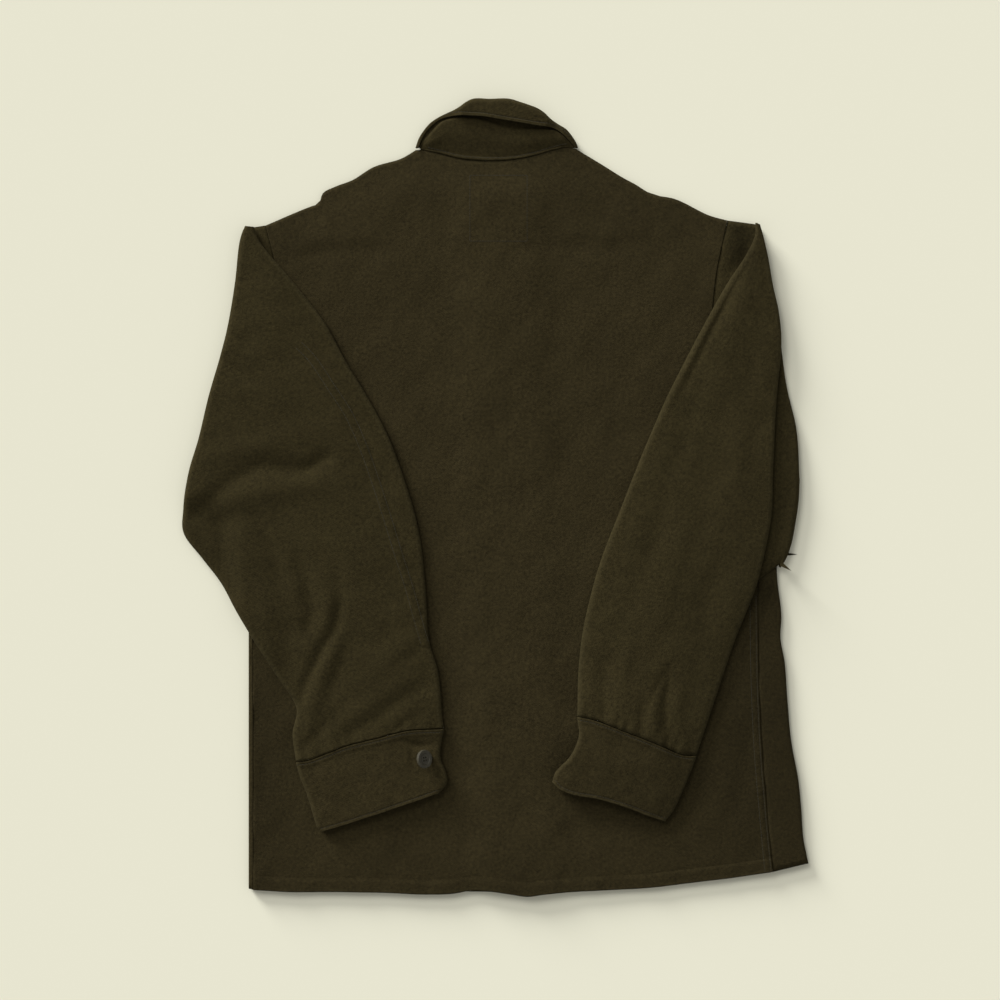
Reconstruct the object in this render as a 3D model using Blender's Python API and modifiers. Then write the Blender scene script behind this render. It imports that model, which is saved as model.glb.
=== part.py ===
"""Military field shirt of olive wool, laid flat on its front, both sleeves folded over the back.

The shirt lies on a square table 1 m wide. The tables below give places on it in millimetres,
x to the right and y down from its upper left corner, as a maker lays out a pattern.
The back faces up and the neck points to the far side of the table.
"""
import math

import bmesh
import bpy
import numpy as np

for item in list(bpy.data.objects):
    bpy.data.objects.remove(item, do_unlink=True)

MM = 0.001
MIDDLE_X, MIDDLE_Y = 496.0, 498.0  # middle of the laid shirt on the table

# Cloth and layers, mm
WALL = 2.0            # wool flannel with its nap
COLLAR_WALL = 2.2     # two plies
CUFF_WALL = 2.4
SEAM_GAP = 0.3
FRONT_MID = WALL / 2
BACK_MID = 5.7        # the back lies over the front with a thin hollow
MEET_MID = 3.5        # the back where it comes down to the shoulder and neck seams
TURN = 2.2            # mid radius of a pressed edge
EDGE = TURN + WALL / 2
SLEEVE_LOW = 8.0      # mid height of a folded sleeve's lower layer
SLEEVE_DEPTH = 2 * TURN

# Placket: the left front lies outside the right one and both stand over the buttons
PLACKET_HALF = 16.0
PLACKET_TOP = (497.0, 216.0)
PLACKET_FOOT = (524.0, 892.0)
PLACKET_LIFT = 2.3

# Buttons
CUFF_BUTTON_DIAMETER = 18.5
CUFF_BUTTON_THICKNESS = 3.2
FRONT_BUTTON_DIAMETER = 15.0
FRONT_BUTTON_THICKNESS = 1.9
FRONT_BUTTONS = 6
HOLE_DIAMETER = 1.9
LEFT_BUTTON_PLACE = (424.0, 757.0)
LEFT_BUTTON_TILT = 42.0
LEFT_BUTTON_TURN = 8.0
RIGHT_BUTTON_PLACE = (598.0, 758.0)
RIGHT_BUTTON_LIFT = 3.6

# Body outline: x, y
SHOULDER_LEFT = [(266, 226), (311, 207), (319, 204), (323, 194), (336, 187),
                 (352, 181), (373, 168), (404, 158), (417, 150)]
NECK_BACK = [(417, 150), (450, 156.5), (492, 161), (523, 159.5), (554, 154.5), (576.5, 150)]
SHOULDER_RIGHT = [(576.5, 150), (603, 166), (624, 179), (637, 186), (673, 199),
                  (712, 217), (727, 221)]
NECK_FRONT = [(418, 152), (426, 172), (446, 196), (470, 210), (496, 216),
              (523, 210), (548, 196), (568, 172), (576, 152)]
ARMHOLE_LEFT = [(250, 470), (263, 425), (276, 370), (281, 310), (275, 262), (266, 226)]
ARMHOLE_RIGHT = [(757, 508), (732, 465), (715, 400), (711, 330), (715, 279), (727, 221)]
SIDE_LEFT = [(249, 888), (249, 760), (249, 634), (249, 470)]
SIDE_RIGHT = [(808, 863), (803, 838), (801, 810), (798, 780), (791, 742), (787, 699),
              (784, 660), (780, 637), (781, 618), (777, 580), (775, 508)]
SEAM_LEFT = [(254, 889), (254, 760), (253.5, 634), (253.5, 470)]
SEAM_RIGHT = [(772, 871), (766, 807), (761, 745), (758, 673), (757, 595), (757, 508)]
HEM = [(249, 889), (290, 891), (336, 891), (388, 892), (430, 893.5), (455, 892.5), (472, 889.5),
       (492, 890.5), (512, 893.5), (527, 895.5), (543, 893.5), (564, 891.5), (600, 889.5),
       (647, 887), (694, 881.5), (735, 876.5), (772, 871)]
HEM_RIGHT_CORNER = [(772, 871), (795, 867), (808, 863)]

# Sleeve rows from the shoulder to the cuff: points across, from the left edge to the right edge
SLEEVE_LEFT_ROWS = [
    [(245, 231), (253, 232)],
    [(242, 246), (271, 250)],
    [(236, 284), (302, 285)],
    [(229, 326), (331, 322)],
    [(221, 358), (351, 361)],
    [(210, 396), (370, 398)],
    [(200, 438), (386, 431)],
    [(190, 472), (399, 463)],
    [(184.2, 508), (413, 506)],
    [(184.2, 533), (421, 542)],
    [(202, 557), (425, 579)],
    [(222, 583), (427, 609)],
    [(237, 610), (428, 630)],
    [(255, 640), (431, 647)],
    [(277, 674), (438, 669)],
    [(297, 706), (441, 696)],
    [(294, 733), (442, 713)],
    [(297, 761.8), (352, 747.8), (404, 733.8), (444, 729.8)],
]
CUFF_LEFT_ROWS = [
    [(297, 762.2), (352, 748.2), (404, 734.2), (444, 730.2)],
    [(302, 778), (355, 765), (440, 745)],
    [(307, 795), (358, 783), (441, 759)],
    [(314, 814), (360, 801), (447, 773)],
    [(318, 825), (362, 811), (447, 782)],
    [(323, 831), (362, 815), (404, 805), (439, 791)],
]
SLEEVE_RIGHT_ROWS = [
    [(752, 235), (760, 237)],
    [(744, 256), (766, 261)],
    [(730, 282), (771, 286)],
    [(714, 305), (776, 315)],
    [(694, 342), (779, 346)],
    [(668, 393), (775, 389)],
    [(652, 430), (772, 431)],
    [(637, 466), (771, 476)],
    [(621, 507), (769, 524)],
    [(601, 553), (757, 579)],
    [(590, 587), (746, 609)],
    [(580, 631), (733, 642)],
    [(578, 673), (716, 693)],
    [(577, 716.8), (596, 720.8), (642, 737.8), (673, 749.8), (696, 755.8)],
]
CUFF_RIGHT_ROWS = [
    [(577, 717.2), (596, 721.2), (642, 738.2), (673, 750.2), (696, 756.2)],
    [(580, 735), (637, 754), (689, 770)],
    [(570, 755), (627, 774), (681, 787)],
    [(556, 769), (618, 789), (672, 808)],
    [(552, 778), (585, 795), (621, 802), (664, 819)],
]

# Sleeve parts between the armhole and the fold: armhole edge, then the folded outer edge
HEAD_LEFT_INNER = [(266, 226), (275, 262), (281, 310), (276, 370), (263, 425), (252.2, 470)]
HEAD_LEFT_OUTER = [(246, 229), (240, 262), (233, 300), (226, 345), (215, 395), (207, 440), (222, 478)]
HEAD_RIGHT_INNER = [(727, 221), (715, 279), (711, 330), (717, 400), (735, 465), (775.2, 507.4)]
HEAD_RIGHT_OUTER = [(757, 226), (771, 282), (779, 340), (785, 385), (795, 430), (798, 482)]
HEAD_RIGHT_INNER_END = [(775.5, 504.9), (777, 525), (779.5, 552)]
HEAD_RIGHT_OUTER_END = [(798, 482), (797, 505), (794, 523), (789, 549), (782, 566)]

# Collar: neck seam, top fold, edge of the leaf that rolls over the top
COLLAR_SEAM = [(420.5, 150), (450, 156), (492, 160.5), (523, 159), (554, 154), (573.5, 150)]
COLLAR_FOLD = [(417, 139), (423, 130), (432, 122), (442, 114.5), (455, 109), (470, 100.5),
               (512, 99.8), (534, 105), (550, 115), (565, 124), (573, 131), (577, 140)]
COLLAR_EDGE = [(425, 145), (431, 135), (442, 126), (456, 119.5), (476, 118.5), (518, 122),
               (546, 126), (558, 131), (565, 138), (568.5, 146)]
COLLAR_FRONT_TOP = [(424, 143), (440, 134), (470, 129), (496, 128), (525, 129), (553, 134),
                    (569, 143)]
COLLAR_TURN_END, COLLAR_TURN_MIDDLE = 2.4, 3.8

# Creases: from x, y to x, y, half width, height (a trough is below zero)
CREASES_LEFT = [
    (223, 360, 243, 375, 6, -2.0),
    (207, 502, 228, 481, 8, -2.4),
    (228, 481, 259, 463, 9, -2.6),
    (259, 463, 331, 462, 8, -2.0),
    (215, 515, 262, 478, 9, 2.2),
    (270, 485, 330, 478, 9, 1.6),
    (298, 344, 349, 414, 7, 1.3),
    (349, 414, 399, 554, 8, 1.0),
    (399, 554, 425, 642, 7, 1.2),
    (261, 507, 272, 543, 8, -1.8),
    (272, 543, 282, 575, 7, -1.4),
    (305, 562, 316, 616, 8, -1.5),
    (290, 560, 300, 620, 8, 1.4),
    (329, 590, 331, 616, 7, -1.6),
    (331, 616, 300, 694, 8, -2.4),
    (339, 621, 313, 688, 6, 1.8),
    (357, 725, 399, 696, 8, -1.6),
    (285, 642, 298, 694, 9, -1.8),
    (350, 660, 395, 640, 12, 1.6),
]
CREASES_RIGHT = [
    (717, 321, 694, 362, 6, -1.6),
    (694, 362, 678, 393, 6, -1.2),
    (740, 330, 720, 420, 14, 1.6),
    (647, 430, 637, 450, 6, -1.4),
    (700, 470, 680, 560, 16, 1.5),
    (668, 694, 662, 725, 6, -1.8),
    (662, 725, 673, 745, 5, -1.4),
    (647, 714, 668, 668, 6, -1.6),
    (635, 650, 655, 600, 10, 1.2),
    (610, 690, 625, 640, 8, 1.0),
]
CREASES_BACK = [
    (540, 247, 640, 248, 10, -1.0),
    (470, 320, 500, 330, 30, 0.8),
    (290, 250, 340, 252, 12, -1.0),
    (480, 560, 560, 600, 26, 0.9),
    (620, 840, 500, 845, 24, 0.8),
    (700, 800, 730, 700, 20, -0.8),
]

# Divisions of the cloth: across and along
BACK_ACROSS = (8, 8, 8)
BODY_BELOW, BODY_ABOVE = 13, 11
FRONT_SHARES = (0, 0.055, 0.115, 0.17, 0.25, 0.35, 0.48, 0.61, 0.74, 0.87, 1)
ARC_STEPS = 4
SLEEVE_ACROSS = 11
SLEEVE_ALONG = 25


def world(x, y, z):
    return ((x - MIDDLE_X) * MM, (MIDDLE_Y - y) * MM, z * MM)


def ease(t):
    """Soft step from 0 to 1."""
    t = np.clip(t, 0.0, 1.0)
    return t * t * (3 - 2 * t)


def along(points, count):
    """Points along a soft curve through the given ones: count even steps, or given shares."""
    p = np.array(points, float)
    steps = np.linalg.norm(np.diff(p, axis=0), axis=1)
    s = np.concatenate([[0], np.cumsum(steps)])
    slope = np.gradient(p, s, axis=0) if len(p) > 2 else np.repeat((p[1:] - p[:1]) / s[-1], 2, 0)
    fine = []
    for i in range(len(p) - 1):
        h = s[i + 1] - s[i]
        for t in np.linspace(0, 1, 9)[:-1]:
            a, b = 2 * t ** 3 - 3 * t ** 2 + 1, t ** 3 - 2 * t ** 2 + t
            c, d = 3 * t ** 2 - 2 * t ** 3, t ** 3 - t ** 2
            fine.append(a * p[i] + b * h * slope[i] + c * p[i + 1] + d * h * slope[i + 1])
    fine.append(p[-1])
    fine = np.array(fine)
    f = np.concatenate([[0], np.cumsum(np.linalg.norm(np.diff(fine, axis=0), axis=1))])
    want = (np.linspace(0, 1, count + 1) if np.isscalar(count) else np.array(count)) * f[-1]
    return np.stack([np.interp(want, f, fine[:, 0]), np.interp(want, f, fine[:, 1])], axis=1)


def joined(*curves):
    """Curves end to end, each shared end once."""
    out = [curves[0]]
    for curve in curves[1:]:
        out.append(curve[1:])
    return np.concatenate(out)


def patch(foot, top, first, last, shares):
    """Sheet of points between four edges: foot and top run across, first and last run up."""
    v = np.linspace(0, 1, len(first))[:, None, None]
    u = np.array(shares)[None, :, None]
    ruled_v = (1 - v) * foot[None] + v * top[None]
    ruled_u = (1 - u) * first[:, None] + u * last[:, None]
    corners = ((1 - v) * ((1 - u) * foot[0] + u * foot[-1])
               + v * ((1 - u) * top[0] + u * top[-1]))
    return ruled_v + ruled_u - corners


def creased(x, y, table):
    """Height of the creases at a place."""
    height = np.zeros(np.shape(x))
    for x0, y0, x1, y1, half_width, rise in table:
        dx, dy = x1 - x0, y1 - y0
        t = np.clip(((x - x0) * dx + (y - y0) * dy) / (dx * dx + dy * dy), 0, 1)
        away = np.hypot(x - x0 - t * dx, y - y0 - t * dy)
        height = height + rise * np.exp(-(away / half_width) ** 2)
    return height


def from_placket(x, y):
    """Distance to the right of the line down the middle of the placket."""
    t = (y - PLACKET_TOP[1]) / (PLACKET_FOOT[1] - PLACKET_TOP[1])
    return x - (PLACKET_TOP[0] + t * (PLACKET_FOOT[0] - PLACKET_TOP[0]))


def cloth(name, points, wall, material, keep=None, ring=False, cap=False):
    """Wall of cloth around a sheet of points, given as rows of x, y, z."""
    mesh = bpy.data.meshes.new(name)
    sheet = bmesh.new()
    rows, columns = points.shape[:2]
    corner = [[sheet.verts.new(world(*points[j, i])) for i in range(columns)] for j in range(rows)]
    for j in range(rows - 1):
        for i in range(columns if ring else columns - 1):
            if keep is not None and not keep(j, i):
                continue
            k = (i + 1) % columns
            sheet.faces.new((corner[j][i], corner[j][k], corner[j + 1][k], corner[j + 1][i]))
    if cap:
        sheet.faces.new(list(reversed(corner[0])))
    bare = [v for v in sheet.verts if not v.link_faces]
    bmesh.ops.delete(sheet, geom=bare, context="VERTS")
    sheet.to_mesh(mesh)
    sheet.free()
    piece = bpy.data.objects.new(name, mesh)
    piece.data.materials.append(material)
    shirt.objects.link(piece)
    thick = piece.modifiers.new("wall", "SOLIDIFY")
    thick.thickness = wall * MM
    thick.offset = 0.0
    thick.use_even_offset = True
    return piece


def surface(name, colour, roughness):
    material = bpy.data.materials.new(name)
    material.use_nodes = True
    shader = material.node_tree.nodes["Principled BSDF"]
    shader.inputs["Base Color"].default_value = (*colour, 1)
    shader.inputs["Roughness"].default_value = roughness
    return material


shirt = bpy.data.collections.new("military_field_shirt")
bpy.context.scene.collection.children.link(shirt)
cutters = bpy.data.collections.new("cutters")
bpy.context.scene.collection.children.link(cutters)
wool = surface("wool", (0.036, 0.030, 0.014), 0.95)
wool_collar = surface("wool_collar", (0.034, 0.029, 0.014), 0.95)
wool_cuff = surface("wool_cuff", (0.034, 0.029, 0.013), 0.95)
button_plastic = surface("button", (0.030, 0.028, 0.018), 0.40)


# Back: one panel from side seam to side seam, hem to neck, let down at the shoulders.
back_shares = np.linspace(0, 1, sum(BACK_ACROSS) + 1)
back_foot = along(HEM, sum(BACK_ACROSS))
back_foot[0] = (254.3, 889)
back_foot[-1] = (771.7, 871)
back_top = joined(along(SHOULDER_LEFT, BACK_ACROSS[0]),
                  along(NECK_BACK, BACK_ACROSS[1]),
                  along(SHOULDER_RIGHT, BACK_ACROSS[2]))
back_left = joined(along(SEAM_LEFT, BODY_BELOW), along([(253.5, 470)] + ARMHOLE_LEFT[1:], BODY_ABOVE))
back_right = joined(along(SEAM_RIGHT, BODY_BELOW), along(ARMHOLE_RIGHT, BODY_ABOVE))
clear = np.where(np.arange(len(back_left)) > BODY_BELOW, 0.7, SEAM_GAP / 2)
back_left[:, 0] += clear
back_right[:, 0] -= clear
back_left[0], back_right[0] = back_foot[0], back_foot[-1]
back_left[-1], back_right[-1] = back_top[0], back_top[-1]
back_plan = patch(back_foot, back_top, back_left, back_right, back_shares)


def back_height(x, y, below_top):
    off = np.abs(from_placket(x, y))
    high = BACK_MID + PLACKET_LIFT * (1 - ease((off - 34) / 30)) + creased(x, y, CREASES_BACK)
    return MEET_MID + (high - MEET_MID) * ease(below_top / 42)


below = np.linalg.norm(back_plan - back_plan[-1][None], axis=2)
back_z = back_height(back_plan[..., 0], back_plan[..., 1], below)
cloth("back", np.concatenate([back_plan, back_z[..., None]], axis=2), WALL, wool)


# Fronts: each from the placket to the side, round the side fold and up to its seam with the back.
def front(name, placket, neck, shoulder, armhole, side, seam, corner, lift_rise):
    outward = 1 if side[0][0] > MIDDLE_X else -1
    inner = np.array(side, float) - (outward * EDGE, 0)
    across = len(FRONT_SHARES) - 1
    foot = along(corner, FRONT_SHARES)
    foot[-1] = inner[0]
    split = 5
    neck_shares = np.array(FRONT_SHARES[:split + 1]) / FRONT_SHARES[split]
    shoulder_shares = (np.array(FRONT_SHARES[split:]) - FRONT_SHARES[split]) / (1 - FRONT_SHARES[split])
    top = joined(along(neck, neck_shares), along(shoulder, shoulder_shares))
    first = along(placket, BODY_BELOW + BODY_ABOVE)
    hole = np.array(armhole, float) - (outward * SEAM_GAP / 2, 0)
    hole[0] = inner[-1]
    last = joined(along(inner, BODY_BELOW), along(hole, BODY_ABOVE))
    first[0], first[-1] = foot[0], top[0]
    last[-1] = top[-1]
    flat = patch(foot, top, first, last, FRONT_SHARES)
    off = outward * from_placket(flat[..., 0], flat[..., 1])
    z = FRONT_MID + lift_rise * (1 - ease((off - 25) / 14))
    sheet = np.concatenate([flat, z[..., None]], axis=2)
    rows = BODY_BELOW + BODY_ABOVE + 1
    fold = np.zeros((rows, 2))
    end = np.zeros((rows, 2))
    fold[:BODY_BELOW + 1] = along(inner, BODY_BELOW)
    end[:BODY_BELOW + 1] = along(seam, BODY_BELOW) + (outward * SEAM_GAP / 2, 0)
    fold[BODY_BELOW + 1:] = last[BODY_BELOW + 1:]
    end[BODY_BELOW + 1:] = last[BODY_BELOW + 1:]
    radius = (BACK_MID - FRONT_MID) / 2
    bend = []
    for step in range(1, ARC_STEPS + 1):
        angle = math.pi * step / ARC_STEPS
        out = outward * radius * math.sin(angle)
        level = FRONT_MID + radius * (1 - math.cos(angle))
        bend.append(np.stack([fold[:, 0] + out, fold[:, 1], np.full(rows, level)], axis=1))
    for share in (0.5, 1.0):
        place = fold * (1 - share) + end * share
        bend.append(np.concatenate([place, np.full((rows, 1), BACK_MID)], axis=1))
    sheet = np.concatenate([sheet, np.stack(bend, axis=1)], axis=1)
    return cloth(name, sheet, WALL, wool,
                 keep=lambda j, i: i < across or j < BODY_BELOW)


front("front_left",
      [(PLACKET_FOOT[0] + PLACKET_HALF, 893), (PLACKET_TOP[0] + PLACKET_HALF, 213)],
      [(PLACKET_TOP[0] + PLACKET_HALF, 213), (497, 216.5), (470, 210.5), (446, 196.5), (426, 172),
       (417.5, 152)],
      [(417.5, 152), (404, 160), (373, 170.5), (352, 183), (325, 197), (311, 209), (267, 228)],
      HEAD_LEFT_INNER[::-1], SIDE_LEFT, SEAM_LEFT,
      [(PLACKET_FOOT[0] + PLACKET_HALF, 892), (455, 891), (388, 890), (300, 889), (252.2, 888)],
      PLACKET_LIFT)
front("front_right",
      [(PLACKET_FOOT[0] - PLACKET_HALF, 893), (PLACKET_TOP[0] - PLACKET_HALF, 213)],
      [(PLACKET_TOP[0] - PLACKET_HALF, 213), (497, 216.5), (523, 210.5), (548, 196.5), (568, 172),
       (576, 152)],
      [(576, 152), (603, 168), (637, 188), (673, 201), (712, 219), (726.2, 223)],
      HEAD_RIGHT_INNER[::-1], SIDE_RIGHT, SEAM_RIGHT,
      [(PLACKET_FOOT[0] - PLACKET_HALF, 891), (560, 890), (620, 886.5), (694, 879.5), (760, 871),
       (804.8, 863)],
      2 * PLACKET_LIFT)


# Sleeve parts between the armhole and the fold: a flat tube pressed shut at its outer edge.
def head(name, inner, outer, inner_end=None, outer_end=None):
    outward = 1 if inner[0][0] > MIDDLE_X else -1
    hole = along(inner, BODY_ABOVE) + (outward * SEAM_GAP, 0)
    hole[-1, 1] -= 2.5
    rim = along(outer, BODY_ABOVE)
    if inner_end:
        hole = joined(hole, along(inner_end, 4))
        rim = joined(rim, along(outer_end, 4))
    count = len(hole) - 1
    way = rim - hole
    way = way / np.linalg.norm(way, axis=1)[:, None]
    shut = ease(np.minimum(np.arange(count + 1), count - np.arange(count + 1)) / 2.0)
    turn = 1.2 + (TURN - 1.2) * shut
    rows = []
    for share in (0.0, 0.33, 0.67, 1.0):
        place = hole + share * (rim - way * (turn + WALL / 2)[:, None] - hole)
        rows.append(np.concatenate([place, np.full((count + 1, 1), FRONT_MID)], axis=1))
    base = rows[-1][:, :2]
    for step in range(1, ARC_STEPS):
        angle = math.pi * step / ARC_STEPS
        place = base + way * (turn * math.sin(angle))[:, None]
        level = FRONT_MID + turn * (1 - math.cos(angle))
        rows.append(np.concatenate([place, level[:, None]], axis=1))
    for row in rows[3::-1]:
        level = FRONT_MID + 2 * turn
        rows.append(np.concatenate([row[:, :2], level[:, None]], axis=1))
    return cloth(name, np.array(rows), WALL, wool)


head("sleeve_left_head", HEAD_LEFT_INNER, HEAD_LEFT_OUTER)
head("sleeve_right_head", HEAD_RIGHT_INNER, HEAD_RIGHT_OUTER, HEAD_RIGHT_INNER_END,
     HEAD_RIGHT_OUTER_END)


# Sleeves and cuffs: a flattened tube through rows of points from its left to its right edge.
def between(rows, share):
    """Row of points at a place along the tube, softly through the given rows."""
    table = np.array([along(row, SLEEVE_ACROSS) for row in rows])
    t = share * (len(rows) - 1)
    k = min(int(t), len(rows) - 2)
    f = t - k
    before, after = table[max(k - 1, 0)], table[min(k + 2, len(rows) - 1)]
    a, b = table[k], table[k + 1]
    m0 = (b - before) / (2 if k > 0 else 1)
    m1 = (after - a) / (2 if k < len(rows) - 2 else 1)
    return ((2 * f ** 3 - 3 * f ** 2 + 1) * a + (f ** 3 - 2 * f ** 2 + f) * m0
            + (3 * f ** 2 - 2 * f ** 3) * b + (f ** 3 - f ** 2) * m1)


def sleeve_low(x, y):
    """Lift of a sleeve's lower layer: down to the table past the body, up over a hidden button."""
    past_body = ease((248 - x) / 30) * ease((y - 492) / 30)
    over_button = 1 - ease((np.hypot(x - RIGHT_BUTTON_PLACE[0], y - RIGHT_BUTTON_PLACE[1]) - 48) / 50)
    return -6.7 * past_body + RIGHT_BUTTON_LIFT * over_button


def tube(name, rows, creases, crown, wall, material, steps, shut_end):
    sides = 3
    sheet = []
    for j in range(steps + 1):
        share = j / steps
        row = between(rows, share)
        length = np.linalg.norm(np.diff(row, axis=0), axis=1).sum()
        edge = TURN + wall / 2
        t = np.linspace(edge / length, 1 - edge / length, SLEEVE_ACROSS + 1)
        s = np.concatenate([[0], np.cumsum(np.linalg.norm(np.diff(row, axis=0), axis=1))]) / length
        x, y = np.interp(t, s, row[:, 0]), np.interp(t, s, row[:, 1])
        arch = 4 * (t * (1 - t))
        wide = ease((length - 20) / 80)
        rise = crown * arch * wide + creased(x, y, creases) * ease(arch * 4)
        floor = SLEEVE_LOW + (wall - WALL) / 2 + sleeve_low(x, y)
        high = floor + SLEEVE_DEPTH + rise
        low = floor + np.maximum(rise - 1.0, 0) * 0.85
        ring = [(x[i], y[i], high[i]) for i in range(SLEEVE_ACROSS + 1)]
        for end, order in ((SLEEVE_ACROSS, 1), (0, -1)):
            neighbour = end - 1 if end else 1
            way = np.array([x[end] - x[neighbour], y[end] - y[neighbour]])
            way = way / np.linalg.norm(way)
            half = (high[end] - low[end]) / 2
            middle = (high[end] + low[end]) / 2
            turned = []
            for step in range(1, sides + 1):
                angle = math.pi / 2 - math.pi * step / (sides + 1)
                reach = TURN * math.cos(angle)
                turned.append((x[end] + way[0] * reach, y[end] + way[1] * reach,
                               middle + half * math.sin(angle)))
            if order == 1:
                ring += turned
                ring += [(x[i], y[i], low[i]) for i in range(SLEEVE_ACROSS, -1, -1)]
            else:
                ring += turned[::-1]
        sheet.append(ring)
    return cloth(name, np.array(sheet), wall, material, ring=True, cap=shut_end)


tube("sleeve_left", SLEEVE_LEFT_ROWS, CREASES_LEFT, 2.4, WALL, wool, SLEEVE_ALONG, True)
tube("sleeve_right", SLEEVE_RIGHT_ROWS, CREASES_RIGHT, 2.4, WALL, wool, SLEEVE_ALONG, True)
tube("cuff_left", CUFF_LEFT_ROWS, [], 1.4, CUFF_WALL, wool_cuff, 4, False)
tube("cuff_right", CUFF_RIGHT_ROWS, [], 1.4, CUFF_WALL, wool_cuff, 4, False)


# Collar, back half: up from the neck seam, over the top fold and back as a short leaf.
def collar_back():
    count = 26
    seam, fold, edge = along(COLLAR_SEAM, count), along(COLLAR_FOLD, count), along(COLLAR_EDGE, count)
    way = fold - edge
    way = way / np.linalg.norm(way, axis=1)[:, None]
    t = np.linspace(0, 1, count + 1)
    turn = COLLAR_TURN_END + (COLLAR_TURN_MIDDLE - COLLAR_TURN_END) * ease(3.5 * t * (1 - t) * 1.14)
    base = fold - way * (turn + COLLAR_WALL / 2)[:, None]
    low = 2.2 + SEAM_GAP + COLLAR_WALL / 2
    rows = []
    for share in (0.0, 0.33, 0.67, 1.0):
        place = seam + share * (base - seam)
        rows.append(np.concatenate([place, np.full((count + 1, 1), low)], axis=1))
    for step in range(1, 6):
        angle = math.pi * step / 6
        place = base + way * (turn * math.sin(angle))[:, None]
        rows.append(np.concatenate([place, (low + turn * (1 - math.cos(angle)))[:, None]], axis=1))
    for share in (0.0, 0.5, 1.0):
        place = base + share * (edge - base)
        level = low + 2 * turn + 0.8 * share
        rows.append(np.concatenate([place, level[:, None]], axis=1))
    return cloth("collar", np.array(rows), COLLAR_WALL, wool_collar)


def collar_front():
    count = 16
    foot = along(NECK_FRONT, count)
    top = along(COLLAR_FRONT_TOP, count)
    inward = np.gradient(foot, axis=0)
    inward = np.stack([inward[:, 1], -inward[:, 0]], axis=1)
    inward = inward / np.linalg.norm(inward, axis=1)[:, None]
    foot = foot + inward * 2.6
    rows = []
    for share in (0.0, 0.25, 0.5, 0.75, 1.0):
        place = foot + share * (top - foot)
        rows.append(np.concatenate([place, np.full((count + 1, 1), COLLAR_WALL / 2)], axis=1))
    return cloth("collar_front", np.array(rows), COLLAR_WALL, wool_collar)


collar_back()
collar_front()


# Buttons: a turned disc with a rim, dished on top, four holes for the thread. Those under the
# front don't show and are plain discs.
def button(name, diameter, thickness, place, height, tilt, turn, sewn=True):
    radius = diameter / 2
    rim, dish = 0.16 * diameter, 0.26 * thickness
    profile = [(0, 0), (radius - 0.6, 0), (radius, 0.6),
               (radius, thickness - 0.6), (radius - 0.6, thickness)]
    if sewn:
        profile += [(radius - rim, thickness), (radius - rim - 1.0, thickness - dish),
                    (0, thickness - dish)]
    else:
        profile += [(0, thickness)]
    mesh = bpy.data.meshes.new(name)
    disc = bmesh.new()
    line = [disc.verts.new((x * MM, 0, z * MM)) for x, z in profile]
    edges = [disc.edges.new(pair) for pair in zip(line, line[1:])]
    bmesh.ops.spin(disc, geom=line + edges, cent=(0, 0, 0), axis=(0, 0, 1), steps=24 if sewn else 14,
                   angle=2 * math.pi, use_merge=True)
    bmesh.ops.remove_doubles(disc, verts=disc.verts, dist=0.00002)
    bmesh.ops.recalc_face_normals(disc, faces=disc.faces)
    disc.to_mesh(mesh)
    disc.free()
    piece = bpy.data.objects.new(name, mesh)
    piece.data.materials.append(button_plastic)
    shirt.objects.link(piece)
    piece.location = world(place[0], place[1], height)
    piece.rotation_euler = (0, math.radians(tilt), math.radians(turn))
    if not sewn:
        return piece
    holes = bpy.data.meshes.new(name + "_holes")
    pegs = bmesh.new()
    for quarter in range(4):
        angle = math.pi / 4 + quarter * math.pi / 2
        peg = bmesh.ops.create_cone(pegs, cap_ends=True, segments=10, radius1=HOLE_DIAMETER / 2 * MM,
                                    radius2=HOLE_DIAMETER / 2 * MM, depth=0.02)
        bmesh.ops.translate(pegs, verts=peg["verts"],
                            vec=(2.1 * math.cos(angle) * MM, 2.1 * math.sin(angle) * MM, 0))
    pegs.to_mesh(holes)
    pegs.free()
    cutter = bpy.data.objects.new(name + "_holes", holes)
    cutter.hide_render = True
    cutter.display_type = "WIRE"
    cutters.objects.link(cutter)
    cutter.location = piece.location
    cutter.rotation_euler = piece.rotation_euler
    cut = piece.modifiers.new("holes", "BOOLEAN")
    cut.operation = "DIFFERENCE"
    cut.solver = "EXACT"
    cut.object = cutter
    return piece


tilt_rise = CUFF_BUTTON_DIAMETER / 2 * math.sin(math.radians(LEFT_BUTTON_TILT))
button("cuff_button_left", CUFF_BUTTON_DIAMETER, CUFF_BUTTON_THICKNESS, LEFT_BUTTON_PLACE,
       13.9 + tilt_rise, LEFT_BUTTON_TILT, LEFT_BUTTON_TURN)
button("cuff_button_right", CUFF_BUTTON_DIAMETER, CUFF_BUTTON_THICKNESS, RIGHT_BUTTON_PLACE,
       BACK_MID + WALL / 2 + SEAM_GAP, 0, 0)
for number in range(FRONT_BUTTONS):
    down = 0.04 + 0.86 * number / (FRONT_BUTTONS - 1)
    button(f"front_button_{number + 1}", FRONT_BUTTON_DIAMETER, FRONT_BUTTON_THICKNESS,
           (PLACKET_TOP[0] + down * (PLACKET_FOOT[0] - PLACKET_TOP[0]),
            PLACKET_TOP[1] + down * (PLACKET_FOOT[1] - PLACKET_TOP[1])), 0, 0, 0,
           sewn=False)
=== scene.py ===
"""Military field shirt of olive wool flannel, laid on its front with both sleeves over its back.

The shirt lies on a table 1 m square. The tables give places on it in millimetres, x to the right
and y down from its upper left corner. The pieces follow in the order they are sewn and folded.
"""
import math

import bmesh
import bpy
import numpy as np
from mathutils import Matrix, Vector
from mathutils.bvhtree import BVHTree


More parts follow.
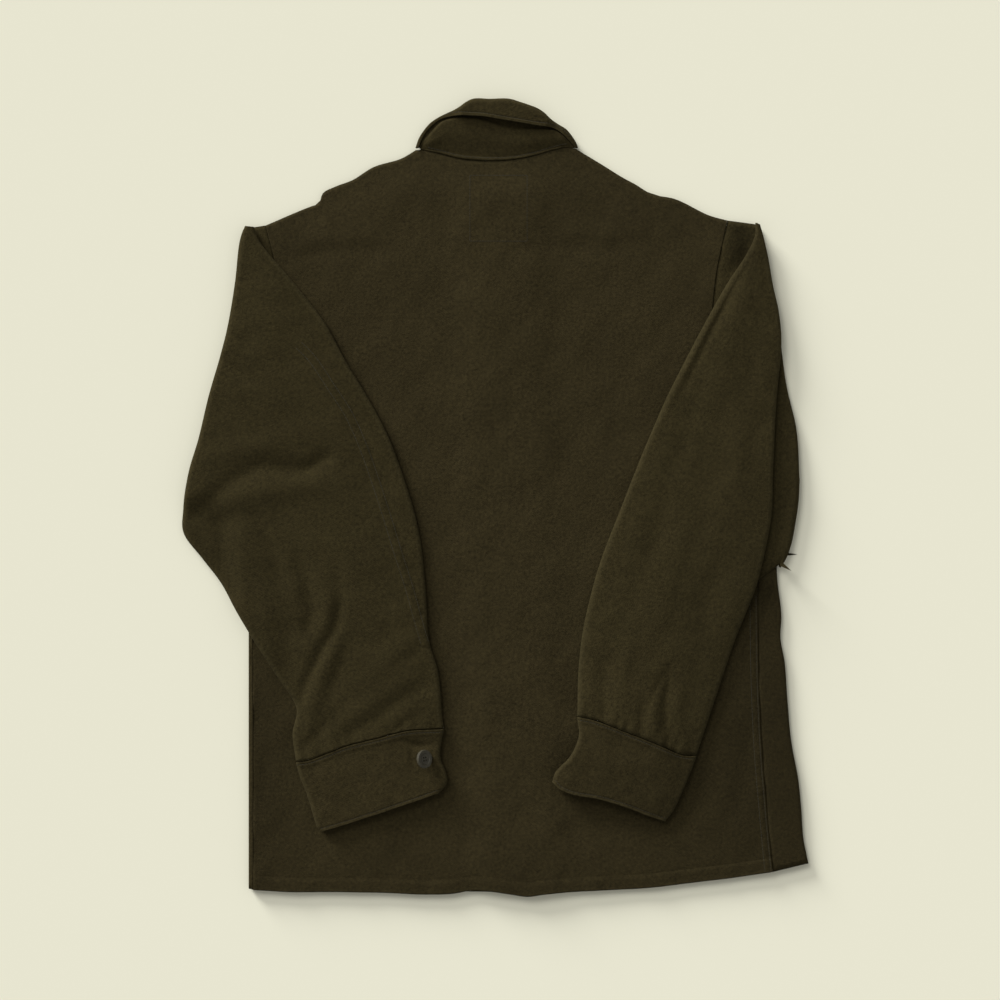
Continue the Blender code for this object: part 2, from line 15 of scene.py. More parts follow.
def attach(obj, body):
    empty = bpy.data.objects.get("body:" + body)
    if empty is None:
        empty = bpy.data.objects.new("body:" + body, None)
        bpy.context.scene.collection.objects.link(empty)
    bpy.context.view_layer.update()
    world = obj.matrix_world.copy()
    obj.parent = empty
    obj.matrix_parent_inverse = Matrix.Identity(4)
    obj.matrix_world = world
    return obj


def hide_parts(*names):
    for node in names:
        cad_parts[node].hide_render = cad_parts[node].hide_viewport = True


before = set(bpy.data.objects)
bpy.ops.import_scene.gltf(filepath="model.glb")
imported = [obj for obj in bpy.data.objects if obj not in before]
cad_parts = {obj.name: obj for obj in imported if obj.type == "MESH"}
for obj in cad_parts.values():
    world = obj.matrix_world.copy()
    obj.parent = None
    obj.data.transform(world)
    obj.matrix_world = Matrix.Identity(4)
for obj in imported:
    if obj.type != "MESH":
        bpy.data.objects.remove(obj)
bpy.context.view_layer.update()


# ---- Table, light and camera
# A plain pale cream table, lit by a soft room and by a low and a high window beyond the left
# shoulder, and seen straight from above through a long lens, so that 1 m fills the picture.
TABLE_COLOUR = (0.803, 0.786, 0.634)
TABLE_MIDDLE = (496.0, 498.0)
MM = 0.001


def place(x, y, z):
    """Point in the world for a place on the table and a height above it, in millimetres."""
    return ((x - TABLE_MIDDLE[0]) * MM, (TABLE_MIDDLE[1] - y) * MM, z * MM)


top = bmesh.new()
bmesh.ops.create_grid(top, x_segments=1, y_segments=1, size=6.0)
table_mesh = bpy.data.meshes.new("table_top")
top.to_mesh(table_mesh)
top.free()
table = bpy.data.objects.new("table_top", table_mesh)
table.location = (0, 0, -0.0006)
bpy.context.scene.collection.objects.link(table)
paper = bpy.data.materials.new("table_paper")
paper.use_nodes = True
paper_shader = paper.node_tree.nodes["Principled BSDF"]
paper_shader.inputs["Base Color"].default_value = (*TABLE_COLOUR, 1)
paper_shader.inputs["Roughness"].default_value = 0.9
paper_shader.inputs["Specular IOR Level"].default_value = 0.0
table_mesh.materials.append(paper)

sky = bpy.data.worlds.new("soft_room")
sky.use_nodes = True
sky.node_tree.nodes["Background"].inputs["Color"].default_value = (1.0, 1.0, 1.0, 1)
sky.node_tree.nodes["Background"].inputs["Strength"].default_value = 0.42
bpy.context.scene.world = sky

for name, height, share, spread in (("low_window", 14, 0.34, 20), ("high_window", 44, 0.24, 26)):
    window = bpy.data.lights.new(name, "SUN")
    window.energy = share * math.pi / math.sin(math.radians(height))
    window.angle = math.radians(spread)
    window_object = bpy.data.objects.new(name, window)
    rise = math.tan(math.radians(height))
    window_object.rotation_euler = Vector((-0.62, 0.785, rise)).to_track_quat("Z", "Y").to_euler()
    bpy.context.scene.collection.objects.link(window_object)

lens = bpy.data.cameras.new("above")
lens.sensor_width = 36
lens.lens = 90
lens.clip_end = 20
camera = bpy.data.objects.new("above", lens)
camera.location = (0.004, -0.002, 2.5)
bpy.context.scene.collection.objects.link(camera)
bpy.context.scene.camera = camera
bpy.context.scene.view_settings.view_transform = "Standard"
bpy.context.scene.view_settings.look = "None"


# ---- Back
# One panel of napped wool flannel from side seam to side seam. Its hem is turned twice and
# stitched, and its top edge is sewn to the fronts along the shoulders and to the collar.
CLOTH = 1.7
BACK_MID = 5.7
MEET_MID = 3.5
SHOULDER_LEFT = [(266, 226), (311, 207), (319, 204), (323, 194), (336, 187),
                 (352, 181), (373, 168), (404, 158), (417, 150)]
NECK_BACK = [(417, 150), (436, 153.3), (460, 159.4), (488, 161.6), (504, 161.2), (520, 159.3),
             (532, 156.8), (554, 150.6), (566, 148), (576.5, 149.6)]
SHOULDER_RIGHT = [(576.5, 150), (603, 166), (624, 179), (637, 186), (643, 190), (650, 194),
                  (673, 199), (712, 217), (727, 221)]
ARMHOLE_LEFT = [(253.5, 470), (263, 425), (276, 370), (281, 310), (275, 262), (266, 226)]
ARMHOLE_RIGHT = [(757, 508), (732, 465), (715, 400), (711, 330), (715, 279), (727, 221)]
SEAM_LEFT = [(254, 889), (254, 760), (253.5, 634), (253.5, 470)]
SEAM_RIGHT = [(772, 871), (766, 807), (761, 745), (758, 673), (757, 595), (757, 508)]
HEM = [(254.3, 889), (290, 891), (336, 891), (388, 892), (430, 893.5), (455, 892.5),
       (472, 889.5), (492, 890.5), (512, 893.5), (527, 895.5), (543, 893.5), (564, 891.5),
       (600, 889.5), (647, 887), (694, 881.5), (735, 876.5), (771.7, 871)]
PLACKET_TOP, PLACKET_FOOT, PLACKET_RISE = (497.0, 216.0), (524.0, 892.0), 2.3
HEM_DEPTH = 14.0
# Folds: the line each one follows, its half width and its height; a trough is below zero.
BACK_FOLDS = [
    ([(532, 250), (575, 246), (610, 250), (648, 244)], 9, -0.9),
    ([(545, 236), (600, 233), (650, 231)], 8, 0.5),
    ([(286, 262), (318, 252), (352, 249), (392, 254)], 8, -0.9),
    ([(296, 246), (340, 238), (384, 240)], 8, 0.5),
    ([(480, 250), (484, 320), (488, 420)], 18, 0.9),
    ([(468, 300), (505, 322), (530, 360)], 16, 0.6),
    ([(640, 192), (652, 214), (656, 240)], 5, -0.8),
    ([(322, 206), (336, 224), (340, 250)], 6, -0.7),
    ([(398, 300), (440, 360), (470, 440)], 15, 0.5),
    ([(452, 560), (500, 580), (560, 572), (606, 560)], 20, 0.6),
    ([(470, 640), (520, 655), (560, 640)], 16, -0.5),
    ([(455, 745), (500, 790), (520, 850)], 16, 0.6),
    ([(270, 850), (360, 845), (450, 856)], 14, 0.4),
    ([(690, 850), (720, 790), (735, 700), (738, 620)], 14, 0.5),
    ([(710, 856), (738, 800), (750, 720)], 9, -0.5),
    ([(560, 852), (620, 842), (690, 836)], 12, 0.45),
    ([(262, 700), (268, 760), (264, 820)], 8, -0.4),
    ([(600, 300), (640, 330), (660, 380)], 16, 0.5),
    ([(560, 420), (590, 470), (596, 520)], 16, -0.4),
]


def ease(t):
    """Soft step from 0 to 1."""
    t = np.clip(t, 0.0, 1.0)
    return t * t * (3 - 2 * t)


def along(points, shares):
    """Points at the given shares of the length of a soft curve through the given ones."""
    p = np.array(points, float)
    s = np.concatenate([[0], np.cumsum(np.linalg.norm(np.diff(p, axis=0), axis=1))])
    slope = np.gradient(p, s, axis=0) if len(p) > 2 else np.repeat((p[1:] - p[:1]) / s[-1], 2, 0)
    t = np.linspace(0, 1, 13)[:-1][:, None]
    fine = []
    for i in range(len(p) - 1):
        h = s[i + 1] - s[i]
        fine.append((2 * t ** 3 - 3 * t ** 2 + 1) * p[i] + (t ** 3 - 2 * t ** 2 + t) * h * slope[i]
                    + (3 * t ** 2 - 2 * t ** 3) * p[i + 1] + (t ** 3 - t ** 2) * h * slope[i + 1])
    fine = np.concatenate(fine + [p[-1:]])
    f = np.concatenate([[0], np.cumsum(np.linalg.norm(np.diff(fine, axis=0), axis=1))])
    want = np.array(shares) * f[-1]
    return np.stack([np.interp(want, f, fine[:, 0]), np.interp(want, f, fine[:, 1])], axis=1)


def even(points, count):
    return along(points, np.linspace(0, 1, count + 1))


def joined(*curves):
    """Curves end to end, each shared end once."""
    return np.concatenate([curves[0]] + [curve[1:] for curve in curves[1:]])


def patch(foot, head, first, last, shares):
    """Sheet of points between four edges: foot and head run across, first and last run up."""
    v = np.linspace(0, 1, len(first))[:, None, None]
    if len(first) == len(back_rows):
        v = back_rows[:, None, None]
    u = np.array(shares)[None, :, None]
    corners = (1 - v) * ((1 - u) * foot[0] + u * foot[-1]) + v * ((1 - u) * head[0] + u * head[-1])
    return (1 - v) * foot[None] + v * head[None] + (1 - u) * first[:, None] + u * last[:, None] - corners


def from_line(x, y, line):
    """Distance to a line of points, and the share of the line's length at the nearest point."""
    p = np.array(line, float)
    lengths = np.linalg.norm(np.diff(p, axis=0), axis=1)
    s = np.concatenate([[0], np.cumsum(lengths)])
    near, share = np.full(np.shape(x), 1e9), np.zeros(np.shape(x))
    for i in range(len(p) - 1):
        d = p[i + 1] - p[i]
        t = np.clip(((x - p[i, 0]) * d[0] + (y - p[i, 1]) * d[1]) / (d @ d), 0, 1)
        away = np.hypot(x - p[i, 0] - t * d[0], y - p[i, 1] - t * d[1])
        closer = away < near
        near = np.where(closer, away, near)
        share = np.where(closer, (s[i] + t * lengths[i]) / s[-1], share)
    return near, share


def folded(x, y, folds):
    """Height of the folds at a place: each is a soft ridge or trough that dies out at its ends."""
    height = np.zeros(np.shape(x))
    for line, half_width, rise in folds:
        away, share = from_line(x, y, line)
        fade = 0.25 + 0.75 * np.sqrt(np.clip(np.sin(np.pi * share), 0, 1))
        height = height + rise * fade * np.exp(-(away / half_width) ** 2)
    return height


def rumple(x, y, seed):
    """Slight unevenness of worn wool, a few tenths of a millimetre."""
    height = np.zeros(np.shape(x))
    for wave, (length, turn, rise) in enumerate([(71, 0.4, 0.20), (53, 1.7, 0.18), (39, 2.6, 0.14),
                                                 (29, 0.9, 0.11), (23, 2.1, 0.08), (17, 1.3, 0.06)]):
        turn = turn + seed * 0.7 + 0.25 * wave
        across = x * math.cos(turn) + y * math.sin(turn)
        other = -x * math.sin(turn) + y * math.cos(turn)
        bend = 0.9 * np.sin(other / (length * 0.37) + seed * 1.3 + wave)
        height = height + rise * np.sin(across * 2 * math.pi / length + bend + seed * 2.1)
    return height


def painted_shading_from_patches(x, y, patches):
    """Painted shade and light: soft patches where the cloth's colour is darkened, below zero, or lightened, standing in
    for shade and light.
    """
    shade = np.zeros(np.shape(x))
    for middle_x, middle_y, reach_x, reach_y, amount in patches:
        shade = shade + amount * np.exp(-((x - middle_x) / reach_x) ** 2 - ((y - middle_y) / reach_y) ** 2)
    return shade


# Patches of painted shade and painted light over the whole shirt. They are darker where shade falls (towards the lower
# right and the bottom, near the shoulders, in the right sleeve head and under the sleeves' edges) and lighter in one
# patch high on the middle of the back: middle, reach each way and amount.
PAINTED_SHADING_PATCHES = [(770, 760, 75, 170, -0.30), (262, 770, 30, 150, -0.22), (520, 905, 260, 45, -0.16),
       (660, 210, 90, 35, -0.12), (286, 238, 22, 22, -0.20), (740, 246, 13, 24, -0.45),
       (484, 300, 22, 90, 0.08), (610, 770, 70, 40, -0.14), (230, 545, 40, 60, -0.10),
       (790, 470, 14, 90, -0.18), (768, 590, 14, 16, -0.25)]


def cloth(name, points, dropped=None, ring=False, thickness=CLOTH, worn=None):
    """Wall of cloth on rows of points x, y, z in millimetres, with a UV map in metres of cloth."""
    rows, columns = points.shape[:2]
    sheet = bmesh.new()
    bmesh.ops.create_grid(sheet, x_segments=columns - 1, y_segments=rows - 1, size=0.5)
    sheet.verts.ensure_lookup_table()
    across = np.zeros((rows, columns))
    across[:, 1:] = np.cumsum(np.linalg.norm(np.diff(points, axis=1), axis=2), axis=1)
    across = across - across[:, columns // 2:columns // 2 + 1]
    up = np.zeros((rows, columns))
    up[1:] = np.cumsum(np.linalg.norm(np.diff(points, axis=0), axis=2), axis=0)
    cut = np.stack([across, up], axis=2).reshape(-1, 2) * MM
    flat = points.reshape(-1, 3)
    wear = sheet.verts.layers.float.new("wear")
    # Painted shade: each point also carries an attribute from the patches of painted shade and light, which darkens or
    # lightens its colour.
    painted_shading = sheet.verts.layers.float.new("painted_shading")
    wear_values = np.zeros(len(flat)) if worn is None else worn.reshape(-1)
    painted_shading_values = painted_shading_from_patches(flat[:, 0], flat[:, 1], PAINTED_SHADING_PATCHES)
    for vert, spot, rubbing, lie in zip(sheet.verts, flat, wear_values, painted_shading_values):
        vert.co = place(*spot)
        vert[wear] = rubbing
        vert[painted_shading] = lie
    uv = sheet.loops.layers.uv.new("cut")
    for face in sheet.faces:
        for loop in face.loops:
            loop[uv].uv = cut[loop.vert.index]
    if dropped is not None:
        middle = [(f, f.loops[0].vert.index) for f in sheet.faces]
        gone = [f for f, index in middle if dropped(index // columns, index % columns)]
        bmesh.ops.delete(sheet, geom=gone, context="FACES")
    if ring:
        bmesh.ops.remove_doubles(sheet, verts=sheet.verts, dist=0.00001)
    for face in sheet.faces:
        face.smooth = True
    mesh = bpy.data.meshes.new(name)
    sheet.to_mesh(mesh)
    sheet.free()
    piece = bpy.data.objects.new(name, mesh)
    bpy.context.scene.collection.objects.link(piece)
    wall = piece.modifiers.new("cloth_wall", "SOLIDIFY")
    wall.thickness = thickness * MM
    wall.offset = 0.0
    wall.use_even_offset = True
    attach(piece, "root")
    return piece


def link(tree, *wires):
    for source, target in wires:
        tree.links.new(source, target)


def flannel_group():
    """Painted shade and light, fibre grain, heathering, twill ribs and rubbed edges of the wool, as colour and height.
    """
    tree = bpy.data.node_groups.new("wool_flannel", "ShaderNodeTree")
    sockets = [("INPUT", "Wool", "NodeSocketColor"), ("INPUT", "Rubbed", "NodeSocketColor"),
               ("INPUT", "Grain", "NodeSocketFloat"), ("INPUT", "Wear", "NodeSocketFloat"),
               ("INPUT", "Painted Shading", "NodeSocketFloat"),
               ("OUTPUT", "Colour", "NodeSocketColor"), ("OUTPUT", "Roughness", "NodeSocketFloat"),
               ("OUTPUT", "Height", "NodeSocketFloat")]
    for direction, label, kind in sockets:
        tree.interface.new_socket(name=label, in_out=direction, socket_type=kind)
    nodes = tree.nodes
    enter, leave = nodes.new("NodeGroupInput"), nodes.new("NodeGroupOutput")
    spot = nodes.new("ShaderNodeTexCoord")

    def noise(scale, detail, rough, coordinate="Object"):
        node = nodes.new("ShaderNodeTexNoise")
        node.inputs["Scale"].default_value = scale
        node.inputs["Detail"].default_value = detail
        node.inputs["Roughness"].default_value = rough
        link(tree, (spot.outputs[coordinate], node.inputs["Vector"]))
        return node.outputs["Fac"]

    def remap(value, low, high, to_low, to_high):
        node = nodes.new("ShaderNodeMapRange")
        for key, amount in (("From Min", low), ("From Max", high), ("To Min", to_low), ("To Max", to_high)):
            node.inputs[key].default_value = amount
        link(tree, (value, node.inputs["Value"]))
        return node.outputs["Result"]

    def sum_of(kind, a, b):
        node = nodes.new("ShaderNodeMath")
        node.operation = kind
        for socket, value in zip(node.inputs, (a, b)):
            if isinstance(value, (int, float)):
                socket.default_value = value
            else:
                link(tree, (value, socket))
        return node.outputs[0]

    fibre = remap(noise(760, 3, 0.65), 0.30, 0.70, -1.0, 1.0)
    clump = remap(noise(310, 4, 0.62), 0.32, 0.68, -1.0, 1.0)
    heather = remap(noise(24, 4, 0.6), 0.3, 0.7, -1.0, 1.0)
    ribs = nodes.new("ShaderNodeTexWave")
    ribs.bands_direction = "DIAGONAL"
    ribs.inputs["Scale"].default_value = 260
    ribs.inputs["Distortion"].default_value = 3.0
    ribs.inputs["Detail Scale"].default_value = 2.0
    cut_map = nodes.new("ShaderNodeUVMap")
    cut_map.uv_map = "cut"
    link(tree, (cut_map.outputs["UV"], ribs.inputs["Vector"]))
    rib = remap(ribs.outputs["Fac"], 0.0, 1.0, -1.0, 1.0)
    tone = sum_of("ADD", sum_of("MULTIPLY", fibre, 0.26), sum_of("MULTIPLY", clump, 0.26))
    tone = sum_of("ADD", tone, sum_of("MULTIPLY", rib, 0.07))
    tone = sum_of("MULTIPLY", tone, enter.outputs["Grain"])
    tone = sum_of("ADD", tone, sum_of("MULTIPLY", heather, 0.07))
    tone = sum_of("ADD", tone, 1.0)
    # Painted shade: the colour is scaled by one plus the painted shading input, darker where shade falls and lighter in
    # one patch.
    tone = sum_of("MULTIPLY", tone, sum_of("ADD", enter.outputs["Painted Shading"], 1.0))
    shaded = nodes.new("ShaderNodeVectorMath")
    shaded.operation = "SCALE"
    link(tree, (enter.outputs["Wool"], shaded.inputs[0]), (tone, shaded.inputs["Scale"]))
    rubbed = nodes.new("ShaderNodeMix")
    rubbed.data_type = "RGBA"
    share = sum_of("MULTIPLY", enter.outputs["Wear"], remap(clump, -1.0, 1.0, 0.35, 1.0))
    link(tree, (share, rubbed.inputs["Factor"]), (shaded.outputs["Vector"], rubbed.inputs["A"]),
         (enter.outputs["Rubbed"], rubbed.inputs["B"]))
    height = sum_of("ADD", sum_of("MULTIPLY", fibre, 0.5), sum_of("MULTIPLY", clump, 0.8))
    height = sum_of("ADD", height, sum_of("MULTIPLY", rib, 0.25))
    link(tree, (rubbed.outputs["Result"], leave.inputs["Colour"]),
         (remap(clump, -1.0, 1.0, 0.86, 1.0), leave.inputs["Roughness"]),
         (height, leave.inputs["Height"]))
    return tree


flannel = flannel_group()


def wool(name, colour, rubbed, grain=1.0):
    """Olive wool flannel in one cloth's own shade."""
    material = bpy.data.materials.new(name)
    material.use_nodes = True
    tree = material.node_tree
    shader = tree.nodes["Principled BSDF"]
    shader.inputs["Specular IOR Level"].default_value = 0.03
    shader.inputs["Sheen Weight"].default_value = 0.035
    shader.inputs["Sheen Roughness"].default_value = 0.55
    shader.inputs["Sheen Tint"].default_value = (0.80, 0.72, 0.36, 1)
    weave = tree.nodes.new("ShaderNodeGroup")
    weave.node_tree = flannel
    weave.inputs["Wool"].default_value = (*colour, 1)
    weave.inputs["Rubbed"].default_value = (*rubbed, 1)
    weave.inputs["Grain"].default_value = grain
    # Painted shade: the painted shading attribute darkens or lightens the cloth's colour through the group.
    wear, painted_shading = tree.nodes.new("ShaderNodeAttribute"), tree.nodes.new("ShaderNodeAttribute")
    wear.attribute_name, painted_shading.attribute_name = "wear", "painted_shading"
    bump = tree.nodes.new("ShaderNodeBump")
    bump.inputs["Strength"].default_value = 0.5
    bump.inputs["Distance"].default_value = 0.0003
    link(tree, (wear.outputs["Fac"], weave.inputs["Wear"]), (painted_shading.outputs["Fac"], weave.inputs["Painted Shading"]),
         (weave.outputs["Colour"], shader.inputs["Base Color"]),
         (weave.outputs["Roughness"], shader.inputs["Roughness"]),
         (weave.outputs["Height"], bump.inputs["Height"]),
         (bump.outputs["Normal"], shader.inputs["Normal"]))
    return material


WOOL = (0.0282, 0.0218, 0.0092)
RUBBED = (0.050, 0.041, 0.019)
body_wool = wool("olive_wool_body", WOOL, RUBBED)

# Rows lie close together at the hem, where the turned edge and its stitching show.
hem_steps = np.array([0, 1.2, 2.6, 5, 8, 10.5, 12.2, 13.2, 14.0, 14.8, 16, 18.5, 22])
side_length = 381.0
below_rows = np.concatenate([hem_steps / side_length, np.linspace(26, 381, 92) / side_length])
above_rows = np.linspace(0, 1, 82)
side_share = 0.575
back_rows = np.concatenate([below_rows * side_share, side_share + above_rows[1:] * (1 - side_share)])
across_shares = np.concatenate([np.array([0, 1.5, 3.2]) / 518, np.linspace(6, 505, 132) / 518,
                                np.array([507.5, 509.2, 510.2, 511.2, 513, 515.3, 516.2, 517.1, 518]) / 518])
shoulder_end, neck_end = 0.345, 0.645
back_foot = along(HEM, across_shares)
part_of = [across_shares <= shoulder_end, (across_shares > shoulder_end) & (across_shares <= neck_end),
           across_shares > neck_end]
back_head = np.concatenate([
    along(SHOULDER_LEFT, across_shares[part_of[0]] / shoulder_end),
    along(NECK_BACK, (across_shares[part_of[1]] - shoulder_end) / (neck_end - shoulder_end)),
    along(SHOULDER_RIGHT, (across_shares[part_of[2]] - neck_end) / (1 - neck_end))])
back_left = joined(along(SEAM_LEFT, below_rows), along(ARMHOLE_LEFT, above_rows))
back_right = joined(along(SEAM_RIGHT, below_rows), along(ARMHOLE_RIGHT, above_rows))
back_left[0], back_right[0] = back_foot[0], back_foot[-1]
back_left[-1], back_right[-1] = back_head[0], back_head[-1]
back_plan = patch(back_foot, back_head, back_left, back_right, across_shares)
bx, by = back_plan[..., 0], back_plan[..., 1]


def from_placket(x, y):
    """Distance to the right of the line down the middle of the placket."""
    t = (y - PLACKET_TOP[1]) / (PLACKET_FOOT[1] - PLACKET_TOP[1])
    return x - (PLACKET_TOP[0] + t * (PLACKET_FOOT[0] - PLACKET_TOP[0]))


from_top = np.linalg.norm(back_plan - back_plan[-1][None], axis=2)
from_hem = np.linalg.norm(back_plan - back_plan[0][None], axis=2)
from_seam = np.linalg.norm(back_plan - back_plan[:, -1][:, None], axis=2)
ridge = PLACKET_RISE * (1 - ease((np.abs(from_placket(bx, by)) - 26) / 34))
back_z = BACK_MID + ridge + folded(bx, by, BACK_FOLDS) + rumple(bx, by, 1.0)
back_z = MEET_MID + (back_z - MEET_MID) * ease(from_top / 42)
# Turned hem: a thicker edge, drawn down along its stitching and slightly puckered.
pucker = 0.16 * np.sin(bx / 4.1 + 1.5 * np.sin(bx / 31)) + 0.14 * np.sin(bx / 7.7 + 0.6)
back_z += 0.55 * (1 - ease((from_hem - 12.5) / 3.0)) - 0.45 * np.exp(-((from_hem - 13.6) / 1.2) ** 2)
back_z += pucker * np.exp(-((from_hem - 12) / 8.0) ** 2)
# Felled side seam: two rows of stitching with a ridge between them.
felled = np.where(by > 508, 1.0, 0.0)
back_z += felled * (0.5 * (1 - ease((from_seam - 7.5) / 2.5)) - 0.5 * np.exp(-((from_seam - 7.8) / 0.9) ** 2)
                    - 0.4 * np.exp(-((from_seam - 1.8) / 0.8) ** 2))
back_wear = 0.35 * np.exp(-(from_hem / 1.8) ** 2) + 0.18 * np.exp(-(from_top / 2.0) ** 2)
back = cloth("shirt_back", np.stack([bx, by, back_z], axis=2), worn=back_wear)
back.data.materials.append(body_wool)
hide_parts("back")


# ---- Fronts
# Two panels with the left one outside at the middle. Each goes round the side fold and comes up
# to its seam with the back, and both stand over the row of hidden buttons under the placket.
SIDE_LEFT = [(249, 888), (249, 760), (249, 634), (249, 470)]
SIDE_RIGHT = [(808, 863), (803, 838), (801, 810), (798, 780), (791, 742), (787, 699),
              (784, 660), (780, 637), (781, 618), (777, 580), (775, 508)]
FRONT_ARMHOLE_LEFT = [(252.2, 470), (263, 425), (276, 370), (281, 310), (275, 262), (266, 226)]
FRONT_ARMHOLE_RIGHT = [(775.2, 507.4), (735, 465), (717, 400), (711, 330), (715, 279), (727, 221)]
PLACKET_HALF = 16.0
SIDE_TURN = 3.2


def front(name, node, placket, neck, shoulder, armhole, side, seam, foot_line, strip_rise, seed):
    outward = 1 if side[0][0] > TABLE_MIDDLE[0] else -1
    inner = np.array(side, float) - (outward * SIDE_TURN, 0)
    shares = np.concatenate([np.linspace(0, 0.2, 15), np.linspace(0.22, 1, 34)])
    below, above = np.linspace(0, 1, 66), np.linspace(0, 1, 46)
    foot = along(foot_line, shares)
    split = np.searchsorted(shares, 0.40)
    head = joined(along(neck, shares[:split + 1] / shares[split]),
                  along(shoulder, (shares[split:] - shares[split]) / (1 - shares[split])))
    first = even(placket, len(below) + len(above) - 2)
    hole = np.array(armhole, float) - (outward * 0.15, 0)
    hole[0] = inner[-1]
    last = joined(along(inner, below), along(hole, above))
    foot[-1], first[0], first[-1], last[-1] = last[0], foot[0], head[0], head[-1]
    plan = patch(foot, head, first, last, shares)
    x, y = plan[..., 0], plan[..., 1]
    off = outward * from_placket(x, y)
    z = 1.0 + strip_rise * (1 - ease((off - 25) / 14))
    sheet = np.concatenate([plan, z[..., None]], axis=2)
    rows, corner_row = len(first), len(below) - 1
    fold, end = last.copy(), last.copy()
    end[:corner_row + 1] = along(seam, below) + (outward * 0.25, 0)
    radius = (BACK_MID - 1.0) / 2
    turned = []
    for step in range(1, 9):
        angle = math.pi * step / 8
        turned.append(np.stack([fold[:, 0] + outward * (radius * math.sin(angle)), fold[:, 1],
                                np.full(rows, 1.0 + radius * (1 - math.cos(angle)))], axis=1))
    for share in np.linspace(0, 1, 9)[1:]:
        spot = fold * (1 - share) + end * share
        level = BACK_MID + 0.35 * math.sin(math.pi * share) + 0.3 * rumple(spot[:, 0], spot[:, 1], seed)
        level = level - 0.25 * math.exp(-((share - 0.93) / 0.06) ** 2)
        turned.append(np.concatenate([spot, level[:, None]], axis=1))
    sheet = np.concatenate([sheet, np.stack(turned, axis=1)], axis=1)
    flat_columns = len(shares) - 1
    upright = outward > 0
    if not upright:
        sheet = sheet[:, ::-1]
    last_column = sheet.shape[1] - 1

    def beyond(row, column):
        column = column if upright else last_column - 1 - column
        return column >= flat_columns and row >= corner_row

    piece = cloth(name, sheet, dropped=beyond)
    piece.data.materials.append(body_wool)
    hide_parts(node)
    return piece


front_left = front(
    "shirt_front_left", "front_left",
    [(PLACKET_FOOT[0] + PLACKET_HALF, 893), (PLACKET_TOP[0] + PLACKET_HALF, 213)],
    [(513, 213), (497, 216.5), (470, 210.5), (446, 196.5), (426, 172), (417.5, 152)],
    [(417.5, 152), (404, 160), (373, 170.5), (352, 183), (325, 197), (311, 209), (267, 228)],
    FRONT_ARMHOLE_LEFT, SIDE_LEFT, SEAM_LEFT,
    [(540, 892), (455, 891), (388, 890), (300, 889), (252.2, 888)], PLACKET_RISE, 2.0)
front_right = front(
    "shirt_front_right", "front_right",
    [(PLACKET_FOOT[0] - PLACKET_HALF, 893), (PLACKET_TOP[0] - PLACKET_HALF, 213)],
    [(481, 213), (497, 216.5), (523, 210.5), (548, 196.5), (568, 172), (576, 152)],
    [(576, 152), (603, 168), (637, 188), (673, 201), (712, 219), (726.2, 223)],
    FRONT_ARMHOLE_RIGHT, SIDE_RIGHT, SEAM_RIGHT,
    [(508, 891), (560, 890), (620, 886.5), (694, 879.5), (760, 871), (804.8, 863)],
    2 * PLACKET_RISE, 3.0)


# ---- Sleeve heads
# The part of each sleeve between its armhole seam and the line where it is folded over the back.
# Right: the bulge below the fold shows beyond the sleeve that lies on it.
HEAD_LEFT = {
    "inner": [(266, 226), (275, 262), (281, 310), (276, 370), (263, 425), (252.2, 467.5)],
    "outer": [(246, 229), (240, 262), (233, 300), (226, 345), (215, 395), (207, 440), (222, 478)],
}
# Its upper layer goes on down over the edge of the body, to a rounded lower fold.
HEAD_RIGHT = {
    "inner": [(727, 221), (715, 279), (711, 330), (717, 400), (735, 465), (775.2, 504.9)],
    "outer": [(757, 225), (771.5, 282), (780, 340), (786, 385), (796, 430), (798.8, 480)],
}
HEAD_TAIL = {
    "inner": [(775.2, 504.9), (778, 522), (780, 545), (780.5, 556)],
    "outer": [(798.8, 480), (798, 500), (795, 522), (790, 547), (784.5, 560.5), (779, 568)],
    "upper": [(752, 490), (750, 520), (748, 556), (751, 584)],
}
HEAD_FOLDS = [
    ([(736, 232), (746, 246), (742, 262), (732, 272)], 7, -1.7),
    ([(733, 262), (726, 280)], 5, -0.8),
    ([(731, 225), (742, 226), (750, 226)], 3, 0.5),
    ([(797, 470), (794, 500), (788, 527)], 2.5, 0.5),
    ([(784, 480), (782, 520), (770, 552)], 8, -0.6),
]


